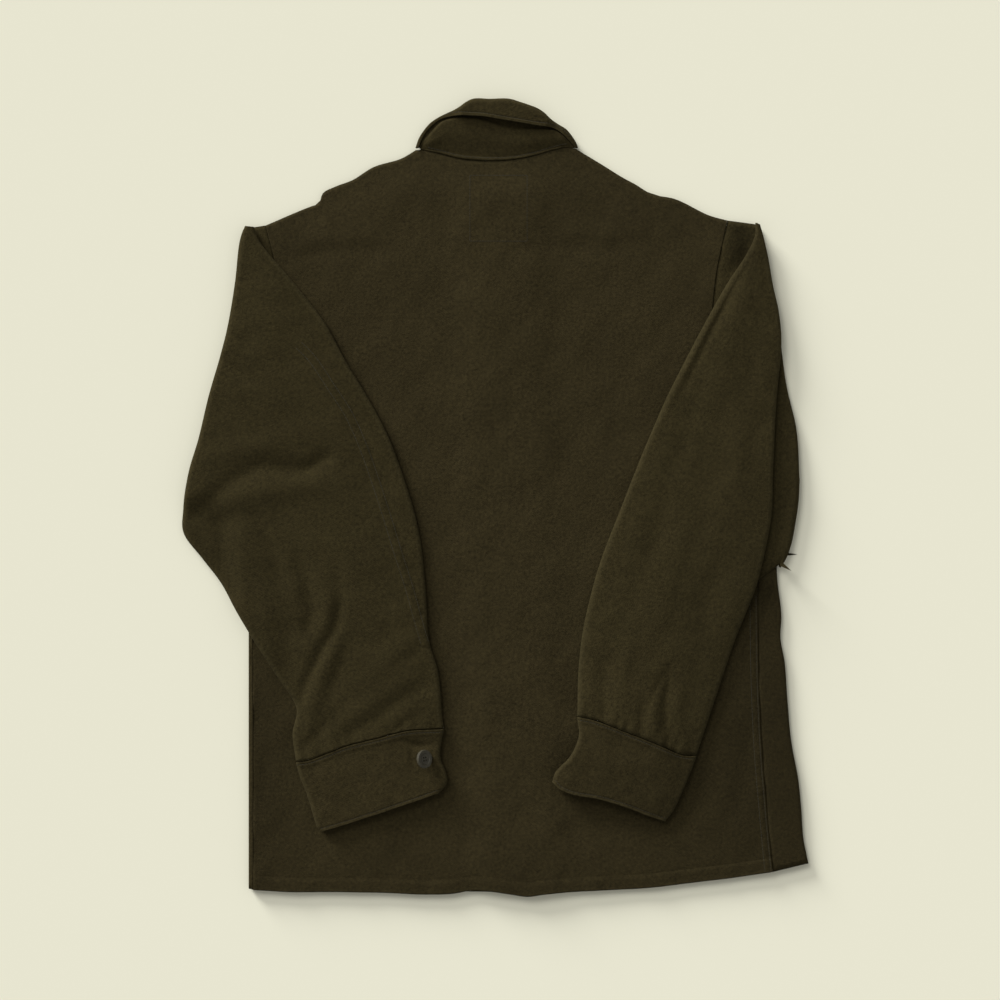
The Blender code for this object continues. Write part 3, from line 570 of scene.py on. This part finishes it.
def sleeve_head(name, node, table, outward, folds, tail=None):
    hole = even(table["inner"], 60) + (outward * 0.35, 0)
    rim = even(table["outer"], 60)
    upper = hole.copy()
    over = np.zeros(len(hole))
    if tail:
        over = np.concatenate([ease((np.arange(61) - 40) / 20), np.ones(24)])
        upper[40:] = along([upper[40], (742, 462), tail["upper"][0]], np.linspace(0, 1, 21))
        hole = joined(hole, even(tail["inner"], 24))
        rim = joined(rim, even(tail["outer"], 24))
        upper = joined(upper, even(tail["upper"], 24))
    count = len(hole) - 1
    way = rim - hole
    way = way / np.linalg.norm(way, axis=1)[:, None]
    shut = ease(np.arange(count + 1) / 6.0) * (1 if tail else ease((count - np.arange(count + 1)) / 6.0))
    turn = 1.15 + (2.2 - 1.15) * shut + 1.6 * over
    base = rim - way * (turn + CLOTH / 2)[:, None]
    rows, rub = [], []
    shares = np.linspace(0, 1, 16)
    for share in shares:
        spot = hole + share * (base - hole)
        rows.append(np.concatenate([spot, np.full((count + 1, 1), 1.0)], axis=1))
    for step in range(1, 10):
        angle = math.pi * step / 10
        spot = base + way * (turn * math.sin(angle))[:, None]
        rows.append(np.concatenate([spot, (1.0 + turn * (1 - math.cos(angle)))[:, None]], axis=1))
    for share in np.linspace(0, 1, 30)[::-1]:
        spot = upper + share * (base - upper)
        level = 1.0 + 2 * turn + folded(spot[:, 0], spot[:, 1], folds) - 0.7 * math.exp(-(share / 0.05) ** 2)
        if tail:
            level -= 1.1 * np.clip((np.arange(count + 1) - (count - 5)) / 5, 0, 1) ** 2
        rows.append(np.concatenate([spot, level[:, None]], axis=1))
    sheet = np.array(rows)
    if outward > 0:
        sheet = sheet[:, ::-1]
    rub = np.repeat(np.exp(-((np.arange(len(rows)) - 21) / 3.0) ** 2)[:, None] * 0.3, count + 1, axis=1)
    piece = cloth(name, sheet, worn=rub)
    piece.data.materials.append(sleeve_wool)
    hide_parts(node)
    return piece


sleeve_wool = wool("olive_wool_sleeve", (0.0280, 0.0220, 0.0088), RUBBED)
sleeve_head("sleeve_left_upper", "sleeve_left_head", HEAD_LEFT, -1, [])
sleeve_head("sleeve_right_upper", "sleeve_right_head", HEAD_RIGHT, 1, HEAD_FOLDS, HEAD_TAIL)


# ---- Sleeves
# Each is one piece of wool, closed by a double-stitched back seam that runs to the cuff opening.
# Folded over the back, they lie as flat tubes that are creased at the elbow and above the cuff.
SLEEVE_LOW, SLEEVE_DEPTH = 8.0, 4.4
SIDE_REACH = 5.0
SLEEVE_LEFT_ROWS = [
    [(246, 227.3), (255, 228.3)],
    [(242.4, 236), (258.5, 239)],
    [(239.5, 250), (268, 253)],
    [(236, 284), (296, 286)],
    [(229, 326), (325, 323)],
    [(221, 358), (346.5, 362)],
    [(210, 396), (368.5, 398.5)],
    [(200, 438), (386, 431)],
    [(190, 472), (399, 463)],
    [(184.2, 508), (413, 506)],
    [(184.2, 533), (421, 542)],
    [(202, 557), (425, 579)],
    [(222, 583), (427, 609)],
    [(237, 610), (428, 630)],
    [(255, 640), (431, 647)],
    [(277, 674), (438, 669)],
    [(297, 706), (441, 694)],
    [(293.5, 733), (442, 711)],
    [(297, 760.4), (308.5, 758.9), (320, 755), (331, 750.4), (346.5, 744.6), (362, 740.4), (379, 736.4),
     (394, 732.2), (409, 729), (424, 728), (444, 727.5)],
]
SLEEVE_RIGHT_ROWS = [
    [(754.5, 223.5), (759, 226.5)],
    [(753.5, 238), (762.5, 238)],
    [(744.5, 257), (767.5, 261)],
    [(728, 282), (771.8, 286)],
    [(714, 306), (778, 315)],
    [(694.5, 342), (780.2, 346)],
    [(668.5, 393), (776.3, 389)],
    [(652, 430), (773.5, 431)],
    [(637, 466), (771.5, 476)],
    [(621, 507), (769.5, 520)],
    [(603, 553), (757, 579)],
    [(592.5, 587), (746, 609)],
    [(582.5, 631), (733, 642)],
    [(578, 673), (716, 693)],
    [(577, 714.9), (592, 717.9), (605, 722.2), (617.5, 727.1), (630, 732), (643, 737), (655, 741.9),
     (666, 746.7), (677, 751.7), (684, 753.4), (695.5, 754.2)],
]
SLEEVE_LEFT_FOLDS = [
    ([(219, 352), (232, 366), (246, 378), (262, 384)], 5.5, -1.9),
    ([(222, 346), (240, 352), (262, 360)], 7, 0.8),
    ([(232, 300), (262, 312), (290, 330)], 14, 0.7),
    ([(250, 330), (252, 346), (240, 358)], 9, -0.8),
    ([(196, 512), (212, 500), (232, 482), (262, 466), (292, 470), (312, 468), (332, 452)], 9, -2.5),
    ([(300, 474), (318, 462), (338, 456)], 5, -1.2),
    ([(206, 460), (244, 448), (292, 444)], 11, 1.3),
    ([(204, 520), (236, 500), (278, 488), (330, 482)], 11, 1.7),
    ([(246, 494), (262, 520), (274, 552), (284, 590)], 8, -1.5),
    ([(258, 500), (272, 530), (292, 566)], 7, 0.7),
    ([(222, 545), (232, 575), (238, 600)], 7, -1.2),
    ([(296, 548), (308, 580), (314, 612), (306, 634)], 6.5, -1.6),
    ([(284, 560), (296, 590), (300, 622)], 7, 1.0),
    ([(318, 575), (330, 604), (324, 632)], 6, 1.2),
    ([(338, 560), (340, 600), (336, 622)], 6, -0.9),
    ([(342, 596), (338, 624), (322, 650), (310, 676), (300, 704)], 5.5, -2.4),
    ([(340, 640), (326, 668), (314, 700), (308, 740)], 9, 1.9),
    ([(352, 640), (338, 668), (330, 700)], 7, -1.1),
    ([(290, 618), (290, 650), (288, 682)], 12, -1.5),
    ([(262, 600), (268, 636), (280, 668)], 9, 0.9),
    ([(350, 734), (378, 716), (410, 694), (430, 684)], 7, -1.2),
    ([(340, 724), (372, 700), (412, 676)], 8, 1.0),
    ([(352, 690), (380, 668), (420, 640)], 14, 0.8),
    ([(300, 752), (320, 730), (336, 716)], 6, -1.0),
    ([(384, 744), (396, 728), (412, 716)], 4, -0.8),
    ([(350, 520), (356, 580), (372, 640)], 20, 0.9),
    ([(300, 390), (330, 420), (350, 460)], 16, 0.7),
    ([(262, 270), (280, 300), (300, 322)], 9, 0.5),
    ([(424, 640), (412, 655), (396, 662)], 6, -0.8),
]
SLEEVE_RIGHT_FOLDS = [
    ([(750, 252), (742, 270), (729, 293.5), (721, 311), (709, 334), (697, 360), (683, 390)], 4.5, -1.5),
    ([(751, 248), (736, 274), (718, 303), (700, 338), (674, 392), (655, 432)], 5, 0.9),
    ([(757, 250), (742, 300), (724, 360), (706, 420)], 13, 1.1),
    ([(700, 400), (686, 440), (668, 480)], 12, -0.8),
    ([(650, 424), (640, 446), (634, 462)], 5, -1.3),
    ([(756, 330), (752, 400), (752, 470)], 12, -0.7),
    ([(738, 420), (730, 500), (708, 570)], 14, 0.8),
    ([(690, 500), (672, 570), (652, 640)], 13, 0.9),
    ([(668, 500), (648, 560), (634, 610)], 9, -0.8),
    ([(720, 560), (706, 620), (692, 680)], 10, -0.7),
    ([(671, 664), (664, 700), (664, 728), (674, 750)], 4.5, -1.9),
    ([(681, 680), (676, 712), (684, 744)], 5, 1.1),
    ([(654, 690), (652, 716), (656, 742)], 5, 1.0),
    ([(644, 716), (654, 690), (668, 664)], 4, -1.1),
    ([(630, 640), (622, 680), (620, 726)], 8, 0.9),
    ([(606, 660), (604, 694), (606, 722)], 6, -0.8),
    ([(590, 620), (592, 660), (590, 704)], 7, 0.7),
    ([(641, 734), (640, 712), (644, 694)], 4, -1.0),
    ([(700, 724), (706, 700), (714, 676)], 5, 0.7),
    ([(765, 240), (762, 262), (766, 288)], 4, -0.6),
]
# The back seam of the left sleeve shows as a raised double line, the right one's is underneath.
BACK_SEAM = [(300, 346), (311, 357), (322, 372), (331, 386), (349, 414), (362, 442), (375, 478),
             (388, 518), (399, 554), (409, 585), (419, 621), (425, 642)]
RIGHT_BUTTON = (598.0, 758.0)


def between(rows, shares, across):
    """Rows of points at the given shares of the way along, softly through the given rows."""
    table = np.array([even(row, across) for row in rows])
    slopes = np.gradient(table, axis=0)
    out = []
    for share in shares:
        t = share * (len(rows) - 1)
        k = min(int(t), len(rows) - 2)
        f = t - k
        out.append((2 * f ** 3 - 3 * f ** 2 + 1) * table[k] + (f ** 3 - 2 * f ** 2 + f) * slopes[k]
                   + (3 * f ** 2 - 2 * f ** 3) * table[k + 1] + (f ** 3 - f ** 2) * slopes[k + 1])
    return np.array(out)


def floor_under(x, y):
    """Lift of a sleeve's lower layer: down to the table past the body, up over what it lies on."""
    past_body = ease((248 - x) / 30) * ease((y - 492) / 30)
    over_button = 1 - ease((np.hypot(x - RIGHT_BUTTON[0], y - RIGHT_BUTTON[1]) - 48) / 50)
    over_bulge = ease((x - 700) / 40) * ease((y - 410) / 50) * (1 - ease((y - 600) / 60))
    return -6.7 * past_body + 3.6 * over_button + 2.4 * over_bulge


def tube(rows, shares, across, folds, crown, seed, reach=SIDE_REACH, extra=0.0, relief=None):
    """Flattened tube of cloth: rings over the top, round the right edge, under and round the left."""
    rings = between(rows, shares, across)
    sheet, wear = [], []
    for row in rings:
        steps = np.linalg.norm(np.diff(row, axis=0), axis=1)
        length = steps.sum()
        inset = min(reach, length * 0.3) + CLOTH / 2
        t = np.linspace(inset / length, 1 - inset / length, across + 1)
        s = np.concatenate([[0], np.cumsum(steps)]) / length
        x, y = np.interp(t, s, row[:, 0]), np.interp(t, s, row[:, 1])
        arch = 4 * t * (1 - t)
        rise = crown * arch * ease((length - 20) / 80)
        rise = rise + (folded(x, y, folds) + rumple(x, y, seed)) * ease(arch * 5)
        if relief is not None:
            rise = rise + relief(x, y)
        low = SLEEVE_LOW + extra + floor_under(x, y)
        high = low + SLEEVE_DEPTH + rise
        under = low + np.maximum(rise - 1.0, 0) * 0.8
        ring = [np.stack([x, y, high], axis=1)]
        for end, near in ((across, across - 1), (0, 1)):
            way = np.array([x[end] - x[near], y[end] - y[near]])
            way = way / np.linalg.norm(way)
            half, middle = (high[end] - under[end]) / 2, (high[end] + under[end]) / 2
            angles = math.pi / 2 - math.pi * np.arange(1, 8) / 8
            bend = np.stack([x[end] + way[0] * (inset - CLOTH / 2) * np.cos(angles),
                             y[end] + way[1] * (inset - CLOTH / 2) * np.cos(angles),
                             middle + half * np.sin(angles)], axis=1)
            if end:
                ring += [bend, np.stack([x, y, under], axis=1)[::-1]]
            else:
                ring += [bend[::-1]]
        ring = np.concatenate(ring)
        sheet.append(np.concatenate([ring, ring[:1]]))
        rub = np.zeros(len(ring) + 1)
        rub[across + 1:across + 8] = 0.30
        rub[-8:-1] = 0.22
        wear.append(rub)
    return np.array(sheet)[::-1], np.array(wear)[::-1]


def back_seam_relief(x, y):
    """Felled seam: a raised band 7 mm wide with a stitched groove down each edge."""
    away, share = from_line(x, y, BACK_SEAM)
    ends = ease(share / 0.06) * 0.85 + 0.15
    grooves = np.exp(-((away - 4.2) / 1.3) ** 2)
    return ends * (0.75 * (1 - ease((away - 2.8) / 2.2)) - 0.45 * grooves) * (share > 0.001)


def cuff_pull(x, y, seam):
    """Small gathers where the sleeve goes into its cuff."""
    away, share = from_line(x, y, seam)
    return (0.45 * np.sin(share * 58 + 1.2 * np.sin(share * 17)) + 0.3 * np.sin(share * 31)) * np.exp(-(away / 13) ** 2)


CUFF_SEAM_LEFT = [(297, 760.8), (308.5, 759.3), (320, 755.4), (331, 750.8), (346.5, 745), (362, 740.8),
                  (379, 736.8), (394, 732.6), (409, 729.4), (424, 728.4), (444, 727.9)]
CUFF_SEAM_RIGHT = [(577, 715.3), (592, 718.3), (605, 722.6), (617.5, 727.5), (630, 732.4), (643, 737.4),
                   (655, 742.3), (666, 747.1), (677, 752.1), (684, 753.8), (695.5, 754.6)]


def sleeve(name, node, rows, folds, seed, relief):
    points, wear = tube(rows, np.linspace(0, 1, 190), 84, folds, 2.4, seed, relief=relief)
    piece = cloth(name, points, ring=True, worn=wear)
    piece.data.materials.append(sleeve_wool)
    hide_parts(node)
    return piece


sleeve_left = sleeve("sleeve_left_lower", "sleeve_left", SLEEVE_LEFT_ROWS, SLEEVE_LEFT_FOLDS, 4.0,
                     lambda x, y: back_seam_relief(x, y) + cuff_pull(x, y, CUFF_SEAM_LEFT))
sleeve_right = sleeve("sleeve_right_lower", "sleeve_right", SLEEVE_RIGHT_ROWS, SLEEVE_RIGHT_FOLDS, 5.0,
                      lambda x, y: cuff_pull(x, y, CUFF_SEAM_RIGHT))


# ---- Cuffs
# Two plies of wool over a stiffening, sewn round the end of each sleeve with two rows of
# stitching and edge-stitched all round. The left one shows its buttoned end.
CUFF_LEFT_ROWS = [
    [(x, y + 0.4) for x, y in CUFF_SEAM_LEFT],
    [(301.5, 777), (350, 762), (395, 750), (441, 743.5)],
    [(307, 790), (354, 777), (399, 764), (440.5, 757)],
    [(312, 806), (357, 792), (402, 779), (445.5, 770)],
    [(317.5, 824), (360, 809.5), (403, 796), (447, 781)],
    [(322.5, 829.8), (344.6, 823.3), (363.6, 817), (382.6, 810.8), (401.6, 804.4), (420.6, 798), (439, 791.4)],
]
CUFF_RIGHT_ROWS = [
    [(x, y + 0.4) for x, y in CUFF_SEAM_RIGHT],
    [(578.6, 735), (637, 754), (689.5, 771)],
    [(570, 755), (627, 774), (681.5, 790)],
    [(556, 770), (618, 789), (673, 808)],
    [(552.5, 780), (558, 786.4), (567, 791), (578, 794), (594, 796.3), (612, 801), (630, 807), (646, 813.4), (664, 819.6)],
]
CUFF_LEFT_FOLDS = [
    ([(400, 738), (414, 742), (426, 743.5), (441, 742)], 4.5, -1.1),
    ([(408, 741), (420, 745), (427, 746)], 3.0, -1.5),
    ([(412, 748), (412, 758), (416, 768)], 2.6, -0.8),
    ([(330, 790), (350, 776), (372, 770)], 9, 0.4),
    ([(300, 790), (330, 800), (356, 806)], 10, -0.4),
]
CUFF_RIGHT_FOLDS = [
    ([(600, 745), (604, 765), (598, 785)], 9, 0.5),
    ([(640, 752), (636, 775), (628, 796)], 9, -0.5),
    ([(676, 760), (664, 782), (654, 806)], 8, 0.5),
]
cuff_wool = wool("olive_wool_cuff", (0.0282, 0.0219, 0.0090), RUBBED)


def cuff(name, node, rows, seam, folds, seed):
    foot = rows[-1]

    def relief(x, y):
        top, _ = from_line(x, y, seam)
        bottom, _ = from_line(x, y, foot)
        band = 0.9 * (1 - ease((top - 2.2) / 6))
        lines = -0.5 * np.exp(-((top - 2.9) / 0.8) ** 2) - 0.45 * np.exp(-((bottom - 3.0) / 0.9) ** 2)
        return band + lines

    steps = np.unique(np.concatenate([np.linspace(0, 0.12, 22), np.linspace(0.12, 0.88, 36), np.linspace(0.88, 1, 12)]))
    points, wear = tube(rows, steps, 110, folds, 1.4, seed, reach=3.4, extra=0.2, relief=relief)
    wear[:3] += 0.35
    piece = cloth(name, points, ring=True, thickness=2.2, worn=wear)
    piece.data.materials.append(cuff_wool)
    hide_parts(node)
    return piece


cuff_left = cuff("cuff_left_band", "cuff_left", CUFF_LEFT_ROWS, CUFF_SEAM_LEFT, CUFF_LEFT_FOLDS, 6.0)
cuff_right = cuff("cuff_right_band", "cuff_right", CUFF_RIGHT_ROWS, CUFF_SEAM_RIGHT, CUFF_RIGHT_FOLDS, 7.0)


# ---- Collar
# One-piece convertible collar of two plies. Its back half stands up flat from the neck seam and
# its edge-stitched outer edge rolls back over the top. Its front half lies under it.
COLLAR_SEAM = [(419.5, 149.3), (436, 152.7), (460, 158.8), (488, 161), (504, 160.6), (520, 158.7),
               (532, 156.2), (554, 150), (566, 147.4), (574.5, 148.6)]
COLLAR_STAND = [(421, 148), (424.5, 143), (431, 137), (437, 130), (443, 124.5), (452, 121), (464, 120),
                (476, 120.8), (486, 123.2), (494, 126.8), (504, 130.4), (512, 131.8), (524, 132),
                (536, 131.8), (548, 131.8), (556, 133.4), (563, 138.2), (570, 144), (573.5, 147.4)]
COLLAR_FOLD = [(415.5, 149), (419, 139), (424, 131), (430, 124), (437, 119), (447, 114), (454, 111),
               (461, 107), (465.5, 103.6), (471, 100.6), (490, 100), (512, 100.4), (520, 103),
               (528, 105.6), (538, 109.6), (544, 113.6), (550, 119.4), (558, 125), (566, 130),
               (572, 137), (576, 143.5), (578, 148.6)]
COLLAR_EDGE = [(418.5, 148.5), (422, 139.5), (427, 131.5), (433, 125.5), (440, 120.5), (450, 117.6),
               (460, 116.8), (470, 117.2), (484, 118.2), (496, 120.2), (508, 122.2), (520, 124.2),
               (532, 126.2), (544, 127.8), (553, 129.2), (560, 133.2), (567, 139.4), (573, 146),
               (575.3, 148.4)]
COLLAR_FRONT_TOP = [(424, 143), (440, 134), (470, 129), (496, 128), (525, 129), (553, 134), (569, 143)]
NECK_FRONT = [(418, 152), (426, 172), (446, 196), (470, 210), (496, 216), (523, 210),
              (548, 196), (568, 172), (576, 152)]
COLLAR_PLY = 1.7
collar_wool = wool("olive_wool_collar", (0.0272, 0.0212, 0.0085), RUBBED)

collar_count = 170
share_round = np.linspace(0, 1, collar_count + 1)
seam_line, stand_line = even(COLLAR_SEAM, collar_count), even(COLLAR_STAND, collar_count)
fold_line, edge_line = even(COLLAR_FOLD, collar_count), even(COLLAR_EDGE, collar_count)
fold_way = fold_line - edge_line
leaf_wide = np.linalg.norm(fold_way, axis=1)
fold_way = fold_way / leaf_wide[:, None]
roll = np.clip(0.42 * leaf_wide, 1.0, 4.2)
collar_base = fold_line - fold_way * (roll + COLLAR_PLY / 2)[:, None]
gap_way = collar_base - stand_line
gap_wide = np.maximum(np.linalg.norm(gap_way, axis=1), 0.5)
stand_low = 3.3
full = ease(np.minimum(share_round, 1 - share_round) / 0.10)
collar_rows, collar_wear = [], []


def collar_row(spot, level, wear):
    collar_rows.append(np.concatenate([spot, np.broadcast_to(level, share_round.shape)[:, None]], axis=1))
    collar_wear.append(np.broadcast_to(wear, share_round.shape))


# The stand, from the neck seam with its pressed edge up to where it goes under the leaf.
for share in np.concatenate([[0, 0.03, 0.055, 0.08, 0.12], np.linspace(0.16, 1, 22)]):
    edge_stitched = 0.7 * math.exp(-((share - 0.03) / 0.035) ** 2) - 0.35 * math.exp(-((share - 0.10) / 0.03) ** 2)
    soft = 0.4 * np.sin(share_round * 9 + 1.0) * math.sin(math.pi * share)
    hump = 3.4 * ease(share / 0.7) * full
    collar_row(seam_line + share * (stand_line - seam_line), stand_low + 0.7 + hump + edge_stitched * full + soft * full,
               0.25 * math.exp(-((share - 0.03) / 0.03) ** 2))
for share in (0.12, 0.24, 0.36, 0.5, 0.75):
    drop = 3.4 * full * (1 - ease(share * gap_wide / 3.0)) + 0.7 * (1 - share)
    collar_row(stand_line + share * gap_way, stand_low + drop, 0.0)
for step in range(0, 13):
    angle = math.pi * step / 12
    collar_row(collar_base + fold_way * (roll * math.sin(angle))[:, None],
               stand_low + roll * (1 - math.cos(angle)), 0.25 * math.sin(angle))
# The leaf, stitched along its edge.
for share in np.concatenate([np.linspace(0.05, 0.6, 9), np.linspace(0.64, 1, 18)]):
    width = np.linalg.norm(edge_line - collar_base, axis=1)
    from_edge = (1 - share) * width
    lines = -0.5 * np.exp(-((from_edge - 3.2) / 0.7) ** 2) + 0.35 * (1 - ease((from_edge - 2.0) / 1.0))
    wave = 0.4 * np.sin(share_round * 14 + 0.5) + 0.25 * np.sin(share_round * 31)
    level = stand_low + 2 * roll + ((0.5 + wave) * share + lines) * ease(width / 9)
    collar_row(collar_base + share * (edge_line - collar_base), level, 0.35 * np.exp(-(from_edge / 1.4) ** 2))
collar = cloth("collar_back_half", np.array(collar_rows), thickness=COLLAR_PLY, worn=np.array(collar_wear))
collar.data.materials.append(collar_wool)
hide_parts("collar")

neck_line, neck_top = even(NECK_FRONT, 80), even(COLLAR_FRONT_TOP, 80)
inward = np.gradient(neck_line, axis=0)
inward = np.stack([inward[:, 1], -inward[:, 0]], axis=1)
neck_line = neck_line + inward / np.linalg.norm(inward, axis=1)[:, None] * 1.6
front_half = [np.concatenate([neck_line + share * (neck_top - neck_line), np.full((81, 1), 1.1)], axis=1)
              for share in np.linspace(0, 1, 18)]
collar_front = cloth("collar_front_half", np.array(front_half), thickness=2.0)
collar_front.data.materials.append(collar_wool)
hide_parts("collar_front")


# ---- Buttons
# Moulded olive-brown plastic with a rim and a dished middle, sewn through four holes. The one on
# the left cuff stands up in its buttonhole, the others are hidden under the shirt.
button_plastic = bpy.data.materials.new("moulded_button")
button_plastic.use_nodes = True
tree = button_plastic.node_tree
shader = tree.nodes["Principled BSDF"]
shader.inputs["Specular IOR Level"].default_value = 0.45
spots = tree.nodes.new("ShaderNodeTexNoise")
spots.inputs["Scale"].default_value = 420
spots.inputs["Detail"].default_value = 4
where = tree.nodes.new("ShaderNodeTexCoord")
tint = tree.nodes.new("ShaderNodeValToRGB")
tint.color_ramp.elements[0].position, tint.color_ramp.elements[0].color = 0.35, (0.030, 0.026, 0.014, 1)
tint.color_ramp.elements[1].position, tint.color_ramp.elements[1].color = 0.70, (0.050, 0.044, 0.026, 1)
dull = tree.nodes.new("ShaderNodeMapRange")
dull.inputs["To Min"].default_value, dull.inputs["To Max"].default_value = 0.38, 0.58
scratch = tree.nodes.new("ShaderNodeBump")
scratch.inputs["Strength"].default_value = 0.25
scratch.inputs["Distance"].default_value = 0.0001
link(tree, (where.outputs["Object"], spots.inputs["Vector"]), (spots.outputs["Fac"], tint.inputs["Fac"]),
     (tint.outputs["Color"], shader.inputs["Base Color"]), (spots.outputs["Fac"], dull.inputs["Value"]),
     (dull.outputs["Result"], shader.inputs["Roughness"]), (spots.outputs["Fac"], scratch.inputs["Height"]),
     (scratch.outputs["Normal"], shader.inputs["Normal"]))
for node_name, node_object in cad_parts.items():
    if "button" in node_name:
        node_object.data.materials.clear()
        node_object.data.materials.append(button_plastic)


# ---- Stitching
# Olive cotton thread, about nine stitches to the inch: one row at each cuff seam and one along each cuff's lower edge,
# two down the felled seams, one at the hem and the collar's edges, and a box where a label was sewn inside.
STITCH_LONG, STITCH_STEP, STITCH_WIDE = 2.1, 2.8, 0.42
thread = bpy.data.materials.new("olive_thread")
thread.use_nodes = True
thread_tree = thread.node_tree
thread_shader = thread_tree.nodes["Principled BSDF"]
thread_shader.inputs["Roughness"].default_value = 0.7
thread_noise = thread_tree.nodes.new("ShaderNodeTexNoise")
thread_noise.inputs["Scale"].default_value = 900
thread_place = thread_tree.nodes.new("ShaderNodeTexCoord")
thread_ramp = thread_tree.nodes.new("ShaderNodeValToRGB")
thread_ramp.color_ramp.elements[0].position, thread_ramp.color_ramp.elements[0].color = 0.3, (0.018, 0.016, 0.008, 1)
thread_ramp.color_ramp.elements[1].position, thread_ramp.color_ramp.elements[1].color = 0.7, (0.034, 0.030, 0.015, 1)
link(thread_tree, (thread_place.outputs["Object"], thread_noise.inputs["Vector"]),
     (thread_noise.outputs["Fac"], thread_ramp.inputs["Fac"]),
     (thread_ramp.outputs["Color"], thread_shader.inputs["Base Color"]))

bpy.context.view_layer.update()
depsgraph = bpy.context.evaluated_depsgraph_get()
surfaces = {}
for carrier in (back, front_right, sleeve_left, sleeve_right, cuff_left, cuff_right, collar):
    surfaces[carrier.name] = BVHTree.FromObject(carrier, depsgraph)
surfaces["sleeve_right_upper"] = BVHTree.FromObject(bpy.data.objects["sleeve_right_upper"], depsgraph)


def shifted(line, distance):
    """The line moved sideways by a distance, to its left when seen from above."""
    p = np.array(line, float)
    way = np.gradient(p, axis=0)
    way = way / np.linalg.norm(way, axis=1)[:, None]
    return p + np.stack([way[:, 1], -way[:, 0]], axis=1) * distance


def stitches(name, rows):
    """Stitches along each row, laid on the cloth that carries it and sunk slightly into it."""
    seams = bmesh.new()
    for line, carrier in rows:
        fine = even(line, 200)
        length = np.linalg.norm(np.diff(fine, axis=0), axis=1).sum()
        count = max(2, int(length / STITCH_STEP))
        spots = along(fine, np.linspace(0, 1, count * 2 + 1)[1::2])
        ways = along(fine, np.clip(np.linspace(0, 1, count * 2 + 1)[1::2] + 0.004, 0, 1)) - spots
        for (x, y), (dx, dy) in zip(spots, ways):
            norm = math.hypot(dx, dy) or 1.0
            dx, dy = dx / norm, dy / norm
            levels = []
            for share in (-0.5, 0.0, 0.5):
                px, py = x + dx * share * STITCH_LONG, y + dy * share * STITCH_LONG
                hit = surfaces[carrier].ray_cast(Vector(place(px, py, 60)), Vector((0, 0, -1)))[0]
                levels.append(hit)
            if any(level is None for level in levels):
                continue
            made = bmesh.ops.create_cube(seams, size=1.0)["verts"]
            forward = (levels[2] - levels[0]).normalized()
            side = Vector((0, 0, 1)).cross(forward).normalized()
            rise = forward.cross(side)
            for vert in made:
                lengthwise, sideways, up = vert.co
                taper = 0.75
                vert.co = (levels[1] + forward * lengthwise * STITCH_LONG * MM
                           + side * sideways * STITCH_WIDE * MM * taper
                           + rise * (up * STITCH_WIDE * MM * 0.8 + 0.00006))
    bmesh.ops.recalc_face_normals(seams, faces=seams.faces)
    mesh = bpy.data.meshes.new(name)
    seams.to_mesh(mesh)
    seams.free()
    piece = bpy.data.objects.new(name, mesh)
    bpy.context.scene.collection.objects.link(piece)
    mesh.materials.append(thread)
    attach(piece, "root")
    return piece


hem_line = shifted(even(HEM[::-1], 80), 13.6)[1:-1]
label_box = [(470, 176), (527, 176), (527, 242), (470, 242), (470, 176)]
rows = [(hem_line, "shirt_back"),
        (shifted(even(SEAM_RIGHT[:-1], 40), 7.8), "shirt_back"),
        (shifted(even(SEAM_RIGHT[:-1], 40), 1.8), "shirt_back")]
rows += [([label_box[i], label_box[i + 1]], "shirt_back") for i in range(4)]
stitches("body_stitching", rows)
stitches("sleeve_stitching", [
    (shifted(even(BACK_SEAM, 60), 3.9), "sleeve_left_lower"),
    (shifted(even(BACK_SEAM, 60), -3.9), "sleeve_left_lower")])
stitches("cuff_stitching", [
    (shifted(even(CUFF_SEAM_LEFT, 40), -2.9), "cuff_left_band"),
    (shifted(even(CUFF_LEFT_ROWS[-1], 40), 3.0), "cuff_left_band"),
    (shifted(even(CUFF_SEAM_RIGHT, 40), -2.9), "cuff_right_band"),
    (shifted(even(CUFF_RIGHT_ROWS[-1], 40), 3.0), "cuff_right_band")])
stitches("collar_stitching", [
    (shifted(even(COLLAR_EDGE, 60), 3.2)[4:-4], "collar_back_half"),
    (shifted(even(COLLAR_SEAM, 60), 2.6)[3:-3], "collar_back_half")])
